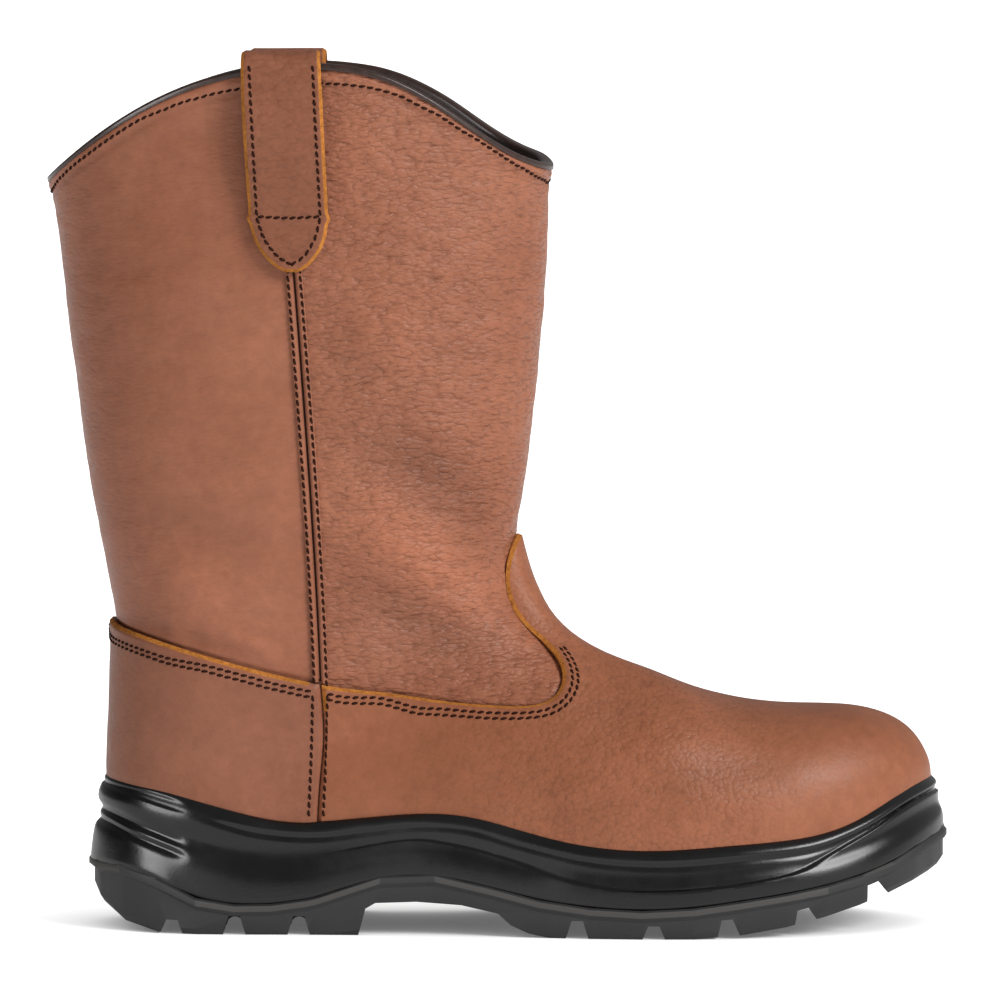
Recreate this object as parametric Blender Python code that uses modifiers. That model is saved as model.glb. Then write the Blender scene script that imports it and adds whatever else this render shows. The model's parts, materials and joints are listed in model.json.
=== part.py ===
"""Pull-on rigger boot for the right foot, made from the pieces that a boot maker joins.

Lengths in the tables are millimetres. There x runs forward from the back of the sole, y is
across the boot (minus is the outer side) and z is up from the floor. The finished boot stands
on the floor with its origin under the middle of its bounding box, toe towards +X.
"""

import math
from collections import namedtuple

import bmesh
import bpy
import numpy as np

MM = 0.001
SOLE_LENGTH = 308.5
MID_LENGTH = 146.1  # x of the middle of the bounding box, where the origin goes

# Leather, rubber and clearances
WALL = 2.4  # shaft leather and its lining
PANEL = 1.8  # vamp and counter leather, laid over the upper
GAP = 0.3  # clearance between neighbouring pieces
INSOLE = 4.0
LIP_HEIGHT = 2.6  # flange round the top of the outsole
TOPLINE_BAND = 9.0  # height of the turned edge under the binding
TOPLINE_STEP = 0.7  # how far the turned edge stands out
SEAM_WIDTH = 5.6  # strip over each side seam
SEAM_HEIGHT = 0.9
STRAP_WIDTH = 27.5
STRAP_THICKNESS = 2.2

# Plan of the upper at the feather line, from toe to heel
PlanRow = namedtuple("PlanRow", "x outer inner")
TOE_TIP = (300.6, 8.0)
HEEL_BACK = (7.6, -0.5)
PLAN = (
    PlanRow(292.5, -13.5, 29.0),
    PlanRow(279.0, -27.5, 39.5),
    PlanRow(259.0, -39.0, 46.3),
    PlanRow(234.0, -46.8, 49.0),
    PlanRow(208.0, -49.3, 48.4),
    PlanRow(184.0, -47.8, 44.5),
    PlanRow(154.0, -42.0, 37.5),
    PlanRow(124.0, -37.5, 33.5),
    PlanRow(94.0, -35.0, 32.5),
    PlanRow(69.0, -34.0, 33.0),
    PlanRow(46.0, -32.8, 32.0),
    PlanRow(26.0, -27.5, 26.8),
    PlanRow(13.0, -17.0, 16.2),
)

# Crown of the foot: top line, and how the top rolls into the sides
CrownRow = namedtuple("CrownRow", "x top side_roll crown_roll fullness")
CROWN = (
    CrownRow(0.0, 78.0, 30.0, 50.0, 2.2),
    CrownRow(60.0, 92.0, 32.0, 55.0, 2.2),
    CrownRow(120.0, 112.0, 36.0, 66.0, 2.2),
    CrownRow(160.0, 105.6, 40.0, 66.0, 2.2),
    CrownRow(174.0, 100.2, 41.5, 62.0, 2.2),
    CrownRow(188.0, 92.7, 43.0, 56.0, 2.2),
    CrownRow(208.0, 89.6, 44.0, 48.0, 2.2),
    CrownRow(230.0, 77.2, 42.0, 40.0, 2.2),
    CrownRow(250.0, 76.2, 38.0, 34.0, 2.25),
    CrownRow(272.0, 77.3, 33.0, 28.0, 2.3),
    CrownRow(302.0, 77.4, 29.0, 25.0, 2.4),
)

# Leg, as level ovals: back and front lines, widest place and half width
LegRow = namedtuple("LegRow", "z back front widest half_width")
LEG = (
    LegRow(20.0, 9.7, 118.0, 42.0, 30.5),
    LegRow(55.0, 8.3, 130.0, 44.0, 33.0),
    LegRow(85.0, 9.4, 141.0, 50.0, 37.5),
    LegRow(110.0, 9.7, 147.0, 58.0, 40.5),
    LegRow(140.0, 4.2, 153.4, 65.0, 43.0),
    LegRow(160.0, 0.3, 156.9, 69.0, 44.3),
    LegRow(180.0, -2.5, 159.4, 72.0, 45.4),
    LegRow(210.0, -6.4, 162.4, 74.0, 46.6),
    LegRow(240.0, -10.1, 164.6, 75.0, 47.5),
    LegRow(270.0, -13.8, 165.1, 75.5, 48.1),
    LegRow(330.0, -19.6, 165.3, 76.0, 48.6),
)
LEG_FULLNESS = 2.2
HEEL_BLEND = 5.0  # how softly leg and foot run together
INSTEP_BLEND = 30.0
BLEND_FROM, BLEND_TO = 90.0, 140.0  # x over which the soft blend takes over

# Collar: high over the side seams, lower behind and in front
COLLAR_PEAK_X = 79.0
COLLAR_PEAK = 307.8
COLLAR_BACK_DROP, COLLAR_BACK_SPAN, COLLAR_BACK_POWER = 43.5, 94.5, 2.15
COLLAR_FRONT_DROP, COLLAR_FRONT_SPAN, COLLAR_FRONT_POWER = 36.5, 90.0, 1.3
COLLAR_INNER_LIFT = 3.0  # the inner side stands higher towards the front

# Line where vamp and counter lap over the shaft, from the tongue's tip round to the back
LapRow = namedtuple("LapRow", "x across z")
LAP = (
    LapRow(152.9, 0.0, 140.3),
    LapRow(151.4, 8.0, 138.8),
    LapRow(150.0, 10.8, 134.5),
    LapRow(150.2, 12.4, 129.0),
    LapRow(151.3, 13.6, 123.0),
    LapRow(153.6, 14.8, 117.0),
    LapRow(157.2, 16.6, 111.0),
    LapRow(162.0, 19.0, 105.0),
    LapRow(166.4, 22.4, 99.6),
    LapRow(169.2, 26.5, 94.0),
    LapRow(170.2, 30.3, 89.3),
    LapRow(168.5, 34.0, 84.5),
    LapRow(164.5, 35.4, 81.7),
    LapRow(157.0, 35.5, 80.8),
    LapRow(140.0, 34.6, 81.4),
    LapRow(114.0, 36.0, 84.6),
    LapRow(84.0, 37.0, 89.0),
    LapRow(50.0, 36.5, 97.5),
    LapRow(24.0, 24.0, 106.0),
    LapRow(10.0, 0.0, 110.5),
)
SEAM_FOOT_X, SEAM_LAP_X, SEAM_COLLAR_X = 82.5, 84.0, 69.4  # side seam, from sole to collar

# Heights along the boot: footbed floor, rubber rim, and line between midsole and outsole
HeightRow = namedtuple("HeightRow", "x floor rim parting")
HEIGHTS = (
    HeightRow(0.0, 28.5, 54.5, 24.0),
    HeightRow(22.0, 27.5, 51.5, 22.5),
    HeightRow(41.0, 26.5, 46.4, 12.6),
    HeightRow(62.0, 26.0, 41.0, 10.6),
    HeightRow(83.0, 26.0, 39.6, 13.4),
    HeightRow(100.0, 26.3, 41.5, 19.6),
    HeightRow(119.0, 26.3, 43.5, 22.2),
    HeightRow(136.0, 25.0, 42.5, 20.0),
    HeightRow(154.0, 20.5, 37.5, 15.0),
    HeightRow(180.0, 16.5, 32.0, 10.9),
    HeightRow(204.0, 15.5, 30.6, 10.0),
    HeightRow(236.0, 18.0, 32.7, 13.8),
    HeightRow(262.0, 24.5, 35.6, 18.2),
    HeightRow(281.0, 32.0, 43.0, 24.0),
    HeightRow(294.0, 36.6, 49.5, 31.0),
    HeightRow(308.0, 37.6, 54.5, 37.5),
)

# Side of the midsole from rim to parting line: share of its height, and how far it stands out
SideRow = namedtuple("SideRow", "share out heel_out")
MIDSOLE_SIDE = (
    SideRow(0.96, 2.0, 1.6),
    SideRow(0.84, 3.0, 3.4),
    SideRow(0.70, 2.7, 3.0),
    SideRow(0.58, 2.8, 2.1),
    SideRow(0.46, 3.3, 4.4),
    SideRow(0.32, 4.8, 4.9),
    SideRow(0.0, 4.9, 4.6),
)
HEEL_RIBS_FROM, HEEL_RIBS_TO = 62.0, 30.0  # ribs fade in over this stretch, towards the heel

# Outsole
LIP_OUT = 5.7  # flange beyond the vamp's face
TREAD_OUT = 4.4  # outsole wall beyond the vamp's face
TREAD_EDGE_OUT = 2.9
TREAD_EDGE = 2.2  # rounding at the foot of the wall
HEEL_BEVEL, HEEL_BEVEL_LENGTH = 11.0, 33.0
HEEL_ROUND, HEEL_ROUND_POWER = 9.0, 7  # tighter rounding at the very back
HEEL_TUCK = 1.4  # the outsole's wall is drawn in at the back
TOE_SPRING, TOE_SPRING_FROM, TOE_SPRING_POWER = 23.0, 212.0, 1.9
ArchRow = namedtuple("ArchRow", "x z")
ARCH = (
    ArchRow(96.6, -4.0),
    ArchRow(97.4, 0.0),
    ArchRow(100.0, 9.6),
    ArchRow(103.5, 11.6),
    ArchRow(118.0, 12.2),
    ArchRow(134.0, 11.2),
    ArchRow(147.0, 8.4),
    ArchRow(151.5, 4.4),
    ArchRow(158.0, 1.5),
    ArchRow(168.0, -0.6),
    ArchRow(172.0, -4.0),
)
GrooveRow = namedtuple("GrooveRow", "x depth")
GROOVES = (
    GrooveRow(31.0, 5.0),
    GrooveRow(53.4, 6.8),
    GrooveRow(76.3, 6.8),
    GrooveRow(175.0, 6.4),
    GrooveRow(202.0, 4.8),
    GrooveRow(228.5, 6.2),
    GrooveRow(256.0, 5.0),
    GrooveRow(282.0, 5.6),
)
GROOVE_MOUTH, GROOVE_ROOF = 8.0, 4.0
CHANNEL_WIDTH, CHANNEL_DEPTH = 5.0, 4.0
CHANNELS = ((20.0, 110.0), (150.0, 246.0))  # lengthwise channel under heel and forefoot

# Section of the collar binding round the rim: out from the wall's face, and up from the rim
BindingRow = namedtuple("BindingRow", "out up")
BINDING = (
    BindingRow(GAP, -1.2),
    BindingRow(1.2, -1.2),
    BindingRow(1.2, 0.5),
    BindingRow(0.2, 1.3),
    BindingRow(-2.6, 1.3),
    BindingRow(-3.6, 0.5),
    BindingRow(-3.6, -6.0),
    BindingRow(-WALL - GAP, -6.0),
    BindingRow(-WALL - GAP, GAP),
    BindingRow(GAP, GAP),
)

# Pull strap, along its inner face: up from the collar's height, out from the wall's face,
# share of the width
StrapRow = namedtuple("StrapRow", "up out share")
STRAP = (
    StrapRow(-73.0, 1.7, 0.16),
    StrapRow(-71.0, 1.7, 0.42),
    StrapRow(-66.5, 1.7, 0.72),
    StrapRow(-60.0, 1.7, 0.94),
    StrapRow(-52.0, 1.9, 1.0),
    StrapRow(-43.0, 4.0, 1.0),
    StrapRow(-31.0, 6.6, 1.0),
    StrapRow(-18.0, 7.2, 1.0),
    StrapRow(-7.0, 5.9, 1.0),
    StrapRow(0.0, 3.9, 1.0),
    StrapRow(2.3, 1.2, 1.0),
    StrapRow(2.5, -2.4, 1.0),
    StrapRow(0.5, -4.8, 1.0),
    StrapRow(-6.0, -5.4, 1.0),
    StrapRow(-17.0, -4.6, 1.0),
    StrapRow(-30.0, -3.7, 1.0),
    StrapRow(-42.0, -3.1, 1.0),
    StrapRow(-54.0, -3.0, 1.0),
)
STRAP_FROM = 308.6
STRAP_TOP_X, STRAP_TIP_X = 70.8, 74.4  # its middle line, at the fold and at the tip
STRAP_CELLS = 4  # mesh cells across a strap

# Mesh density
FRONT_CELLS, BACK_CELLS = 16, 7  # columns on each side, before and behind the side seam
CUP_ROWS, FOOT_ROWS, SHAFT_ROWS = 2, 8, 9
FOOT_CROWDING = 1.6  # foot rows crowd towards the sole, where the toe is roundest
SHAFT_CROWDING = 1.35  # shaft rows crowd towards the lap line, where the instep is hollow
CAP_CELLS = 4  # cells across the sole
FINE = 60  # samples along a column before it is spaced out
CORE = np.array((105.0, 0.0, 45.0))  # inside the ankle, where the foot's columns are seen from


def column(table, name):
    return np.array([getattr(row, name) for row in table])


def curve_value(known_x, known_y, x):
    """Smooth curve through a table's points, level beyond its ends."""
    slopes = np.gradient(known_y, known_x)
    x = np.clip(x, known_x[0], known_x[-1])
    i = np.clip(np.searchsorted(known_x, x) - 1, 0, len(known_x) - 2)
    width = known_x[i + 1] - known_x[i]
    t = (x - known_x[i]) / width
    rise = known_y[i + 1] - known_y[i]
    start, end = slopes[i] * width, slopes[i + 1] * width
    return known_y[i] + t * (start + t * (3 * rise - 2 * start - end + t * (start + end - 2 * rise)))


def along(table, key, name, at):
    return curve_value(column(table, key), column(table, name), np.asarray(at, float))


def smoothstep(low, high, x):
    t = np.clip((x - low) / (high - low), 0.0, 1.0)
    return t * t * (3 - 2 * t)


def lengths_along(points):
    steps = np.linalg.norm(np.diff(points, axis=0), axis=1)
    return np.concatenate([[0.0], np.cumsum(steps)])


def at_lengths(points, wanted):
    run = lengths_along(points)
    return np.stack([np.interp(wanted, run, axis) for axis in points.T], axis=1)


def smooth_path(points, count):
    """A smooth curve through hand-set points, as count points evenly spaced along it."""
    points = np.asarray(points, float)
    run = lengths_along(points)
    fine = np.linspace(0.0, run[-1], 40 * len(points))
    path = np.stack([curve_value(run, axis, fine) for axis in points.T], axis=1)
    return at_lengths(path, np.linspace(0.0, lengths_along(path)[-1], count))


def foot_outline():
    """The plan as a closed ring: toe tip, outer side, heel, inner side, toe tip."""
    outer = [(row.x, row.outer) for row in PLAN]
    inner = [(row.x, row.inner) for row in reversed(PLAN)]
    ring = [TOE_TIP, *outer, HEEL_BACK, *inner]
    lap = 3
    path = smooth_path(ring[-lap:] + ring + ring[:lap], 400)
    start = np.argmin(np.hypot(*(path[:200] - TOE_TIP).T))
    end = 200 + np.argmin(np.hypot(*(path[200:] - TOE_TIP).T))
    return path[start:end]


OUTLINE = foot_outline()


def inside_distance(x, y):
    """How far a plan point lies inside the foot outline, negative outside."""
    here = np.stack([x, y], axis=-1)[..., None, :]
    first = OUTLINE
    edge = np.roll(OUTLINE, -1, axis=0) - first
    t = np.clip(((here - first) * edge).sum(-1) / (edge * edge).sum(-1), 0.0, 1.0)
    away = here - first - t[..., None] * edge
    distance = np.sqrt((away * away).sum(-1)).min(-1)
    after = first + edge
    spans = (first[:, 1] > y[..., None]) != (after[:, 1] > y[..., None])
    rise = np.where(edge[:, 1] == 0, 1e-9, edge[:, 1])
    crossing = first[:, 0] + (y[..., None] - first[:, 1]) * edge[:, 0] / rise
    inside = (spans & (x[..., None] < crossing)).sum(-1) % 2 == 1
    return np.where(inside, distance, -distance)


def foot_form(p):
    """Distance outside the foot: walls on the outline that roll over to the crown."""
    x, y, z = p[..., 0], p[..., 1], p[..., 2]
    side_roll = along(CROWN, "x", "side_roll", x)
    crown_roll = along(CROWN, "x", "crown_roll", x)
    fullness = along(CROWN, "x", "fullness", x)
    u = np.maximum(side_roll - inside_distance(x, y), 1e-6)
    v = np.maximum(crown_roll - (along(CROWN, "x", "top", x) - z), 1e-6)
    ratio = ((u / side_roll) ** fullness + (v / crown_roll) ** fullness) ** (1 / fullness)
    return np.hypot(u, v) * (1 - 1 / ratio)


def leg_form(p):
    """Distance outside the leg, which is a stack of level ovals."""
    x, y, z = p[..., 0], p[..., 1], p[..., 2]
    widest = along(LEG, "z", "widest", z)
    depth = np.where(x < widest, widest - along(LEG, "z", "back", z), along(LEG, "z", "front", z) - widest)
    u, v = np.abs(x - widest) + 1e-9, np.abs(y) + 1e-9
    ratio = ((u / depth) ** LEG_FULLNESS + (v / along(LEG, "z", "half_width", z)) ** LEG_FULLNESS) ** (
        1 / LEG_FULLNESS
    )
    return np.hypot(u, v) * (1 - 1 / ratio)


def boot_form(p):
    """Distance outside the upper: foot and leg run together, softly over the instep."""
    foot, leg = foot_form(p), leg_form(p)
    blend = HEEL_BLEND + (INSTEP_BLEND - HEEL_BLEND) * smoothstep(BLEND_FROM, BLEND_TO, p[..., 0])
    overlap = np.maximum(blend - np.abs(foot - leg), 0.0) / blend
    return np.minimum(foot, leg) - overlap * overlap * blend / 4


def form_normals(p):
    step = 0.05
    slopes = [boot_form(p + step * axis) - boot_form(p - step * axis) for axis in np.eye(3)]
    slopes = np.stack(slopes, axis=-1)
    return slopes / np.linalg.norm(slopes, axis=-1, keepdims=True)


def ray_hits(origins, directions, reach=330.0):
    """Where rays from inside the boot meet its surface."""
    near = np.zeros(len(directions))
    far = np.full(len(directions), reach)
    for _ in range(30):
        middle = (near + far) / 2
        outside = boot_form(origins + middle[:, None] * directions) > 0
        far = np.where(outside, middle, far)
        near = np.where(outside, near, middle)
    return origins + near[:, None] * directions


def pulled_on(p, rounds=25):
    """Points near the surface, moved level onto it."""
    for _ in range(rounds):
        level = form_normals(p) * (1.0, 1.0, 0.0)
        p = p - boot_form(p)[..., None] * level / np.maximum((level * level).sum(-1, keepdims=True), 0.2)
    return p


def leg_axis(z):
    return (along(LEG, "z", "back", z) + along(LEG, "z", "front", z)) / 2


def collar_height(x):
    back = np.clip((COLLAR_PEAK_X - x) / COLLAR_BACK_SPAN, 0.0, None)
    front = np.clip((x - COLLAR_PEAK_X) / COLLAR_FRONT_SPAN, 0.0, 1.0)
    wave = (1 - np.cos(np.pi * front**COLLAR_FRONT_POWER)) / 2
    return COLLAR_PEAK - COLLAR_BACK_DROP * back**COLLAR_BACK_POWER - COLLAR_FRONT_DROP * wave


def edge_half(side):
    """Foot of the upper on one side, from toe tip to heel, on the footbed floor."""
    heel = np.argmin(OUTLINE[:, 0])
    half = OUTLINE[: heel + 1] if side < 0 else np.concatenate([OUTLINE[heel:], OUTLINE[:1]])[::-1]
    floor = along(HEIGHTS, "x", "floor", half[:, 0]) + GAP
    return pulled_on(np.column_stack([half, floor]))


def lap_half(side):
    points = [(row.x, side * row.across, row.z) for row in LAP]
    path = pulled_on(smooth_path(points, 160))
    path[[0, -1], 1] = 0.0
    return path


def collar_half(side):
    """Rim of the upper on one side, from front to back."""
    angles = side * np.linspace(0.0, math.pi, 161)
    directions = np.column_stack([np.cos(angles), np.sin(angles), np.zeros(len(angles))])
    z = np.full(len(angles), COLLAR_PEAK)
    for _ in range(12):
        origins = np.column_stack([leg_axis(z), np.zeros(len(z)), z])
        hits = ray_hits(origins, directions)
        lift = np.clip((hits[:, 0] - 95.0) / 35.0, 0.0, 1.0) * np.clip(hits[:, 1] / 14.0, 0.0, 1.0)
        z = collar_height(hits[:, 0]) + COLLAR_INNER_LIFT * lift
    return hits


def stations(path, seam_x, toe_crowding):
    """Points on a half ring: crowded to the front, with a strip's width at the side seam."""
    run = lengths_along(path)
    seam = np.interp(-seam_x, -np.maximum.accumulate(path[::-1, 0])[::-1], run)
    front = (np.arange(FRONT_CELLS + 1) / FRONT_CELLS) ** toe_crowding * (seam - SEAM_WIDTH / 2)
    back = np.linspace(seam + SEAM_WIDTH / 2, run[-1], BACK_CELLS + 1)
    return at_lengths(path, np.concatenate([front, [seam], back]))


def foot_columns(edge, lap):
    """Columns over the foot, from the edge on the floor to the lap line."""
    start, end = edge - CORE, lap - CORE
    start = start / np.linalg.norm(start, axis=1, keepdims=True)
    end = end / np.linalg.norm(end, axis=1, keepdims=True)
    t = np.linspace(0.0, 1.0, FINE)[:, None, None]
    angle = np.arccos(np.clip((start * end).sum(1), -1, 1))[None, :, None]
    turn = (np.sin((1 - t) * angle) * start + np.sin(t * angle) * end) / np.sin(angle)
    hits = ray_hits(CORE, turn.reshape(-1, 3)).reshape(turn.shape)
    hits[0], hits[-1] = edge, lap
    return hits


def shaft_columns(lap, collar, side):
    """Columns up the shaft, from the lap line to the rim."""
    t = np.linspace(0.0, 1.0, FINE)[:, None]
    z = lap[:, 2] + t * (collar[:, 2] - lap[:, 2])
    low = np.abs(np.arctan2(lap[:, 1], lap[:, 0] - leg_axis(lap[:, 2])))
    high = np.abs(np.arctan2(collar[:, 1], collar[:, 0] - leg_axis(collar[:, 2])))
    angle = side * (low + t * (high - low))
    directions = np.stack([np.cos(angle), np.sin(angle), np.zeros(angle.shape)], axis=-1)
    axis = leg_axis(lap[:, 2]) + t * (leg_axis(collar[:, 2]) - leg_axis(lap[:, 2]))
    origins = np.stack([axis, np.zeros(z.shape), z], axis=-1)
    hits = ray_hits(origins.reshape(-1, 3), directions.reshape(-1, 3)).reshape(directions.shape)
    hits[0], hits[-1] = lap, collar
    return hits


def spaced_column(foot, shaft):
    """One column of the upper: cup rows up to the rubber rim, foot rows, shaft rows, turned edge."""
    run = lengths_along(foot)
    above = np.argmax(foot[:, 2] > along(HEIGHTS, "x", "rim", foot[:, 0]))
    cup = at_lengths(foot, np.linspace(0.0, run[above], CUP_ROWS + 1))
    share = (np.arange(1, FOOT_ROWS + 1) / FOOT_ROWS) ** FOOT_CROWDING
    vamp = at_lengths(foot, run[above] + share * (run[-1] - run[above]))
    top = lengths_along(shaft)[-1]
    rise = (np.arange(1, SHAFT_ROWS + 1) / SHAFT_ROWS) ** SHAFT_CROWDING
    leg = at_lengths(shaft, rise * (top - TOPLINE_BAND))
    band = at_lengths(shaft, [top - TOPLINE_BAND + 1.5, top])
    return np.concatenate([cup, vamp, leg, band])


def upper_grid():
    """Rows by columns over the whole upper. Columns run front, outer side, back, inner side."""
    halves = []
    for side in (-1, 1):
        edge = stations(edge_half(side), SEAM_FOOT_X, 1.35)
        lap = stations(lap_half(side), SEAM_LAP_X, 1.0)
        collar = stations(collar_half(side), SEAM_COLLAR_X, 1.0)
        foot = foot_columns(edge, lap)
        shaft = shaft_columns(lap, collar, side)
        halves.append(
            np.stack([spaced_column(foot[:, i], shaft[:, i]) for i in range(len(edge))], axis=1)
        )
    outer, inner = halves
    return np.concatenate([outer, inner[:, -2:0:-1]], axis=1)


GRID = upper_grid()
NORMALS = form_normals(GRID)
COLUMNS = GRID.shape[1]
HALF = COLUMNS // 2
SEAM = FRONT_CELLS + 1  # the outer side seam's column; the inner one mirrors it
RIM_ROW = CUP_ROWS
LAP_ROW = CUP_ROWS + FOOT_ROWS
BAND_ROW = LAP_ROW + SHAFT_ROWS + 1


def material(name, colour, roughness):
    made = bpy.data.materials.new(name)
    made.use_nodes = True
    shader = made.node_tree.nodes["Principled BSDF"]
    shader.inputs["Base Color"].default_value = (*colour, 1.0)
    shader.inputs["Roughness"].default_value = roughness
    shader.inputs["Metallic"].default_value = 0.0
    return made


def to_metres(points):
    return (np.asarray(points, float) - (MID_LENGTH, 0.0, 0.0)) * MM


def new_object(name, points, faces, collection, finish=None):
    mesh = bpy.data.meshes.new(name)
    mesh.from_pydata(to_metres(points).tolist(), [], [list(map(int, f)) for f in faces])
    mesh.shade_smooth()
    mesh.set_sharp_from_angle(angle=math.radians(40))
    made = bpy.data.objects.new(name, mesh)
    collection.objects.link(made)
    if finish:
        mesh.materials.append(finish)
    return made


def face_out(obj):
    cage = bmesh.new()
    cage.from_mesh(obj.data)
    bmesh.ops.remove_doubles(cage, verts=cage.verts, dist=1e-7)
    bmesh.ops.recalc_face_normals(cage, faces=cage.faces)
    cage.to_mesh(obj.data)
    cage.free()


def sheet_faces(rows, cells, mirrored):
    """Triangles of a grid, facing out of the boot when columns run front, outer side, back.

    A cell is a pair of neighbouring columns. The diagonals on the boot's inner side mirror
    those on the outer side, so that a panel's facets lie flat on the upper's.
    """
    columns = max(max(cell) for cell in cells) + 1
    faces = []
    for r in range(rows - 1):
        for (c, d), flip in zip(cells, mirrored):
            here, beside = r * columns + c, r * columns + d
            over, over_beside = here + columns, beside + columns
            if flip:
                faces += [(here, over, beside), (over, over_beside, beside)]
            else:
                faces += [(here, over, over_beside), (here, over_beside, beside)]
    return faces


def ring_faces(rows):
    """Triangles of a grid that goes all round the boot."""
    cells = [(c, (c + 1) % COLUMNS) for c in range(COLUMNS)]
    return sheet_faces(rows, cells, [c >= HALF for c in range(COLUMNS)])


def panel_faces(rows, columns):
    """Triangles of a grid over some of the boot's columns, from first to last."""
    cells = [(k, k + 1) for k in range(len(columns) - 1)]
    return sheet_faces(rows, cells, [c >= HALF for c in columns[:-1]])


def shell(name, grid, faces, thickness, outwards, collection, finish):
    """An open sheet of leather given its thickness."""
    made = new_object(name, grid.reshape(-1, 3), faces, collection, finish)
    solid = made.modifiers.new("leather", "SOLIDIFY")
    solid.thickness = thickness * MM
    solid.offset = 1.0 if outwards else -1.0
    return made


def lofted(name, loops, cap_heights, collection, finish):
    """A closed solid from stacked rings that all have the boot's columns, capped at both ends."""
    loops = np.asarray(loops)
    points = [p for ring in loops for p in ring]
    faces = ring_faces(len(loops))
    for ring_index, height in ((0, cap_heights[0]), (len(loops) - 1, cap_heights[1])):
        base = ring_index * COLUMNS
        ring = loops[ring_index]
        rows = [[base]]
        for i in range(1, HALF):
            left, right = ring[i], ring[COLUMNS - i]
            inner = []
            for t in np.arange(1, CAP_CELLS) / CAP_CELLS:
                p = left + t * (right - left)
                p[2] = height(p[0])
                inner.append(len(points))
                points.append(p)
            rows.append([base + i, *inner, base + COLUMNS - i])
        rows.append([base + HALF])
        for first, second in zip(rows, rows[1:]):
            if len(first) == 1:
                faces += [(first[0], a, b) for a, b in zip(second, second[1:])]
            elif len(second) == 1:
                faces += [(second[0], a, b) for a, b in zip(first, first[1:])]
            else:
                faces += [
                    (first[k], first[k + 1], second[k + 1], second[k]) for k in range(len(first) - 1)
                ]
    made = new_object(name, np.array(points), faces, collection, finish)
    face_out(made)
    return made


def prism(name, outline, low, high, across, collection):
    """A cutter: a closed outline drawn out from low to high along one axis."""
    outline = np.asarray(outline, float)
    n = len(outline)
    if across == "y":
        points = [(x, y, z) for y in (low, high) for x, z in outline]
    else:
        points = [(x, y, z) for x in (low, high) for y, z in outline]
    faces = [tuple(range(n)), tuple(range(n, 2 * n))]
    faces += [(i, (i + 1) % n, n + (i + 1) % n, n + i) for i in range(n)]
    made = new_object(name, points, faces, collection)
    face_out(made)
    made.hide_render = True
    made.display_type = "WIRE"
    return made


def cut(obj, cutter):
    modifier = obj.modifiers.new(cutter.name, "BOOLEAN")
    modifier.operation = "DIFFERENCE"
    modifier.object = cutter


def plan_normals(ring):
    """Level outward directions of a ring that runs front, outer side, back, inner side."""
    run = np.roll(ring, -1, axis=0) - np.roll(ring, 1, axis=0)
    out = np.column_stack([run[:, 1], -run[:, 0], np.zeros(len(run))])
    return -out / np.linalg.norm(out, axis=1, keepdims=True)


EDGE = GRID[0]
EDGE_OUT = plan_normals(EDGE)
FACE = GAP + PANEL  # from the upper out to the face of vamp and counter


def tread_height(x):
    bevel = np.clip((HEEL_BEVEL_LENGTH - x) / HEEL_BEVEL_LENGTH, 0.0, 1.0)
    spring = np.clip((x - TOE_SPRING_FROM) / (SOLE_LENGTH - TOE_SPRING_FROM), 0.0, None)
    heel = HEEL_BEVEL * bevel**2 + HEEL_ROUND * bevel**HEEL_ROUND_POWER
    return heel + TOE_SPRING * spring**TOE_SPRING_POWER


def side_out(row):
    """How far a row of the midsole's side stands out from the vamp's face, column by column."""
    heel = smoothstep(HEEL_RIBS_FROM, HEEL_RIBS_TO, EDGE[:, 0])
    return row.out + heel * (row.heel_out - row.out)


def sole_ring(out, heights):
    """A ring round the sole, standing out from the vamp's face and leaning with it."""
    rise = np.clip((heights - EDGE[:, 2]) / (GRID[RIM_ROW, :, 2] - EDGE[:, 2]), 0.0, 1.0)
    ring = EDGE + (GRID[RIM_ROW] - EDGE) * rise[:, None] + EDGE_OUT * (FACE + out)[:, None]
    ring[:, 2] = heights
    return ring


def make_midsole(collection, finish):
    """Moulded cup: floor, wall against the leather, rim bead, ribbed side and parting face."""

    def floor(x):
        return along(HEIGHTS, "x", "floor", x)

    def parting(x):
        return along(HEIGHTS, "x", "parting", x)

    lining = GRID[: RIM_ROW + 1] + NORMALS[: RIM_ROW + 1] * (FACE + GAP)
    lining[0, :, 2] = floor(EDGE[:, 0])
    rim = along(HEIGHTS, "x", "rim", EDGE[:, 0])
    foot = parting(EDGE[:, 0])
    sides = [sole_ring(side_out(row), foot + row.share * (rim - foot)) for row in MIDSOLE_SIDE]
    loops = [*lining, *sides]
    return lofted("midsole", loops, (floor, parting), collection, finish)


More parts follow.
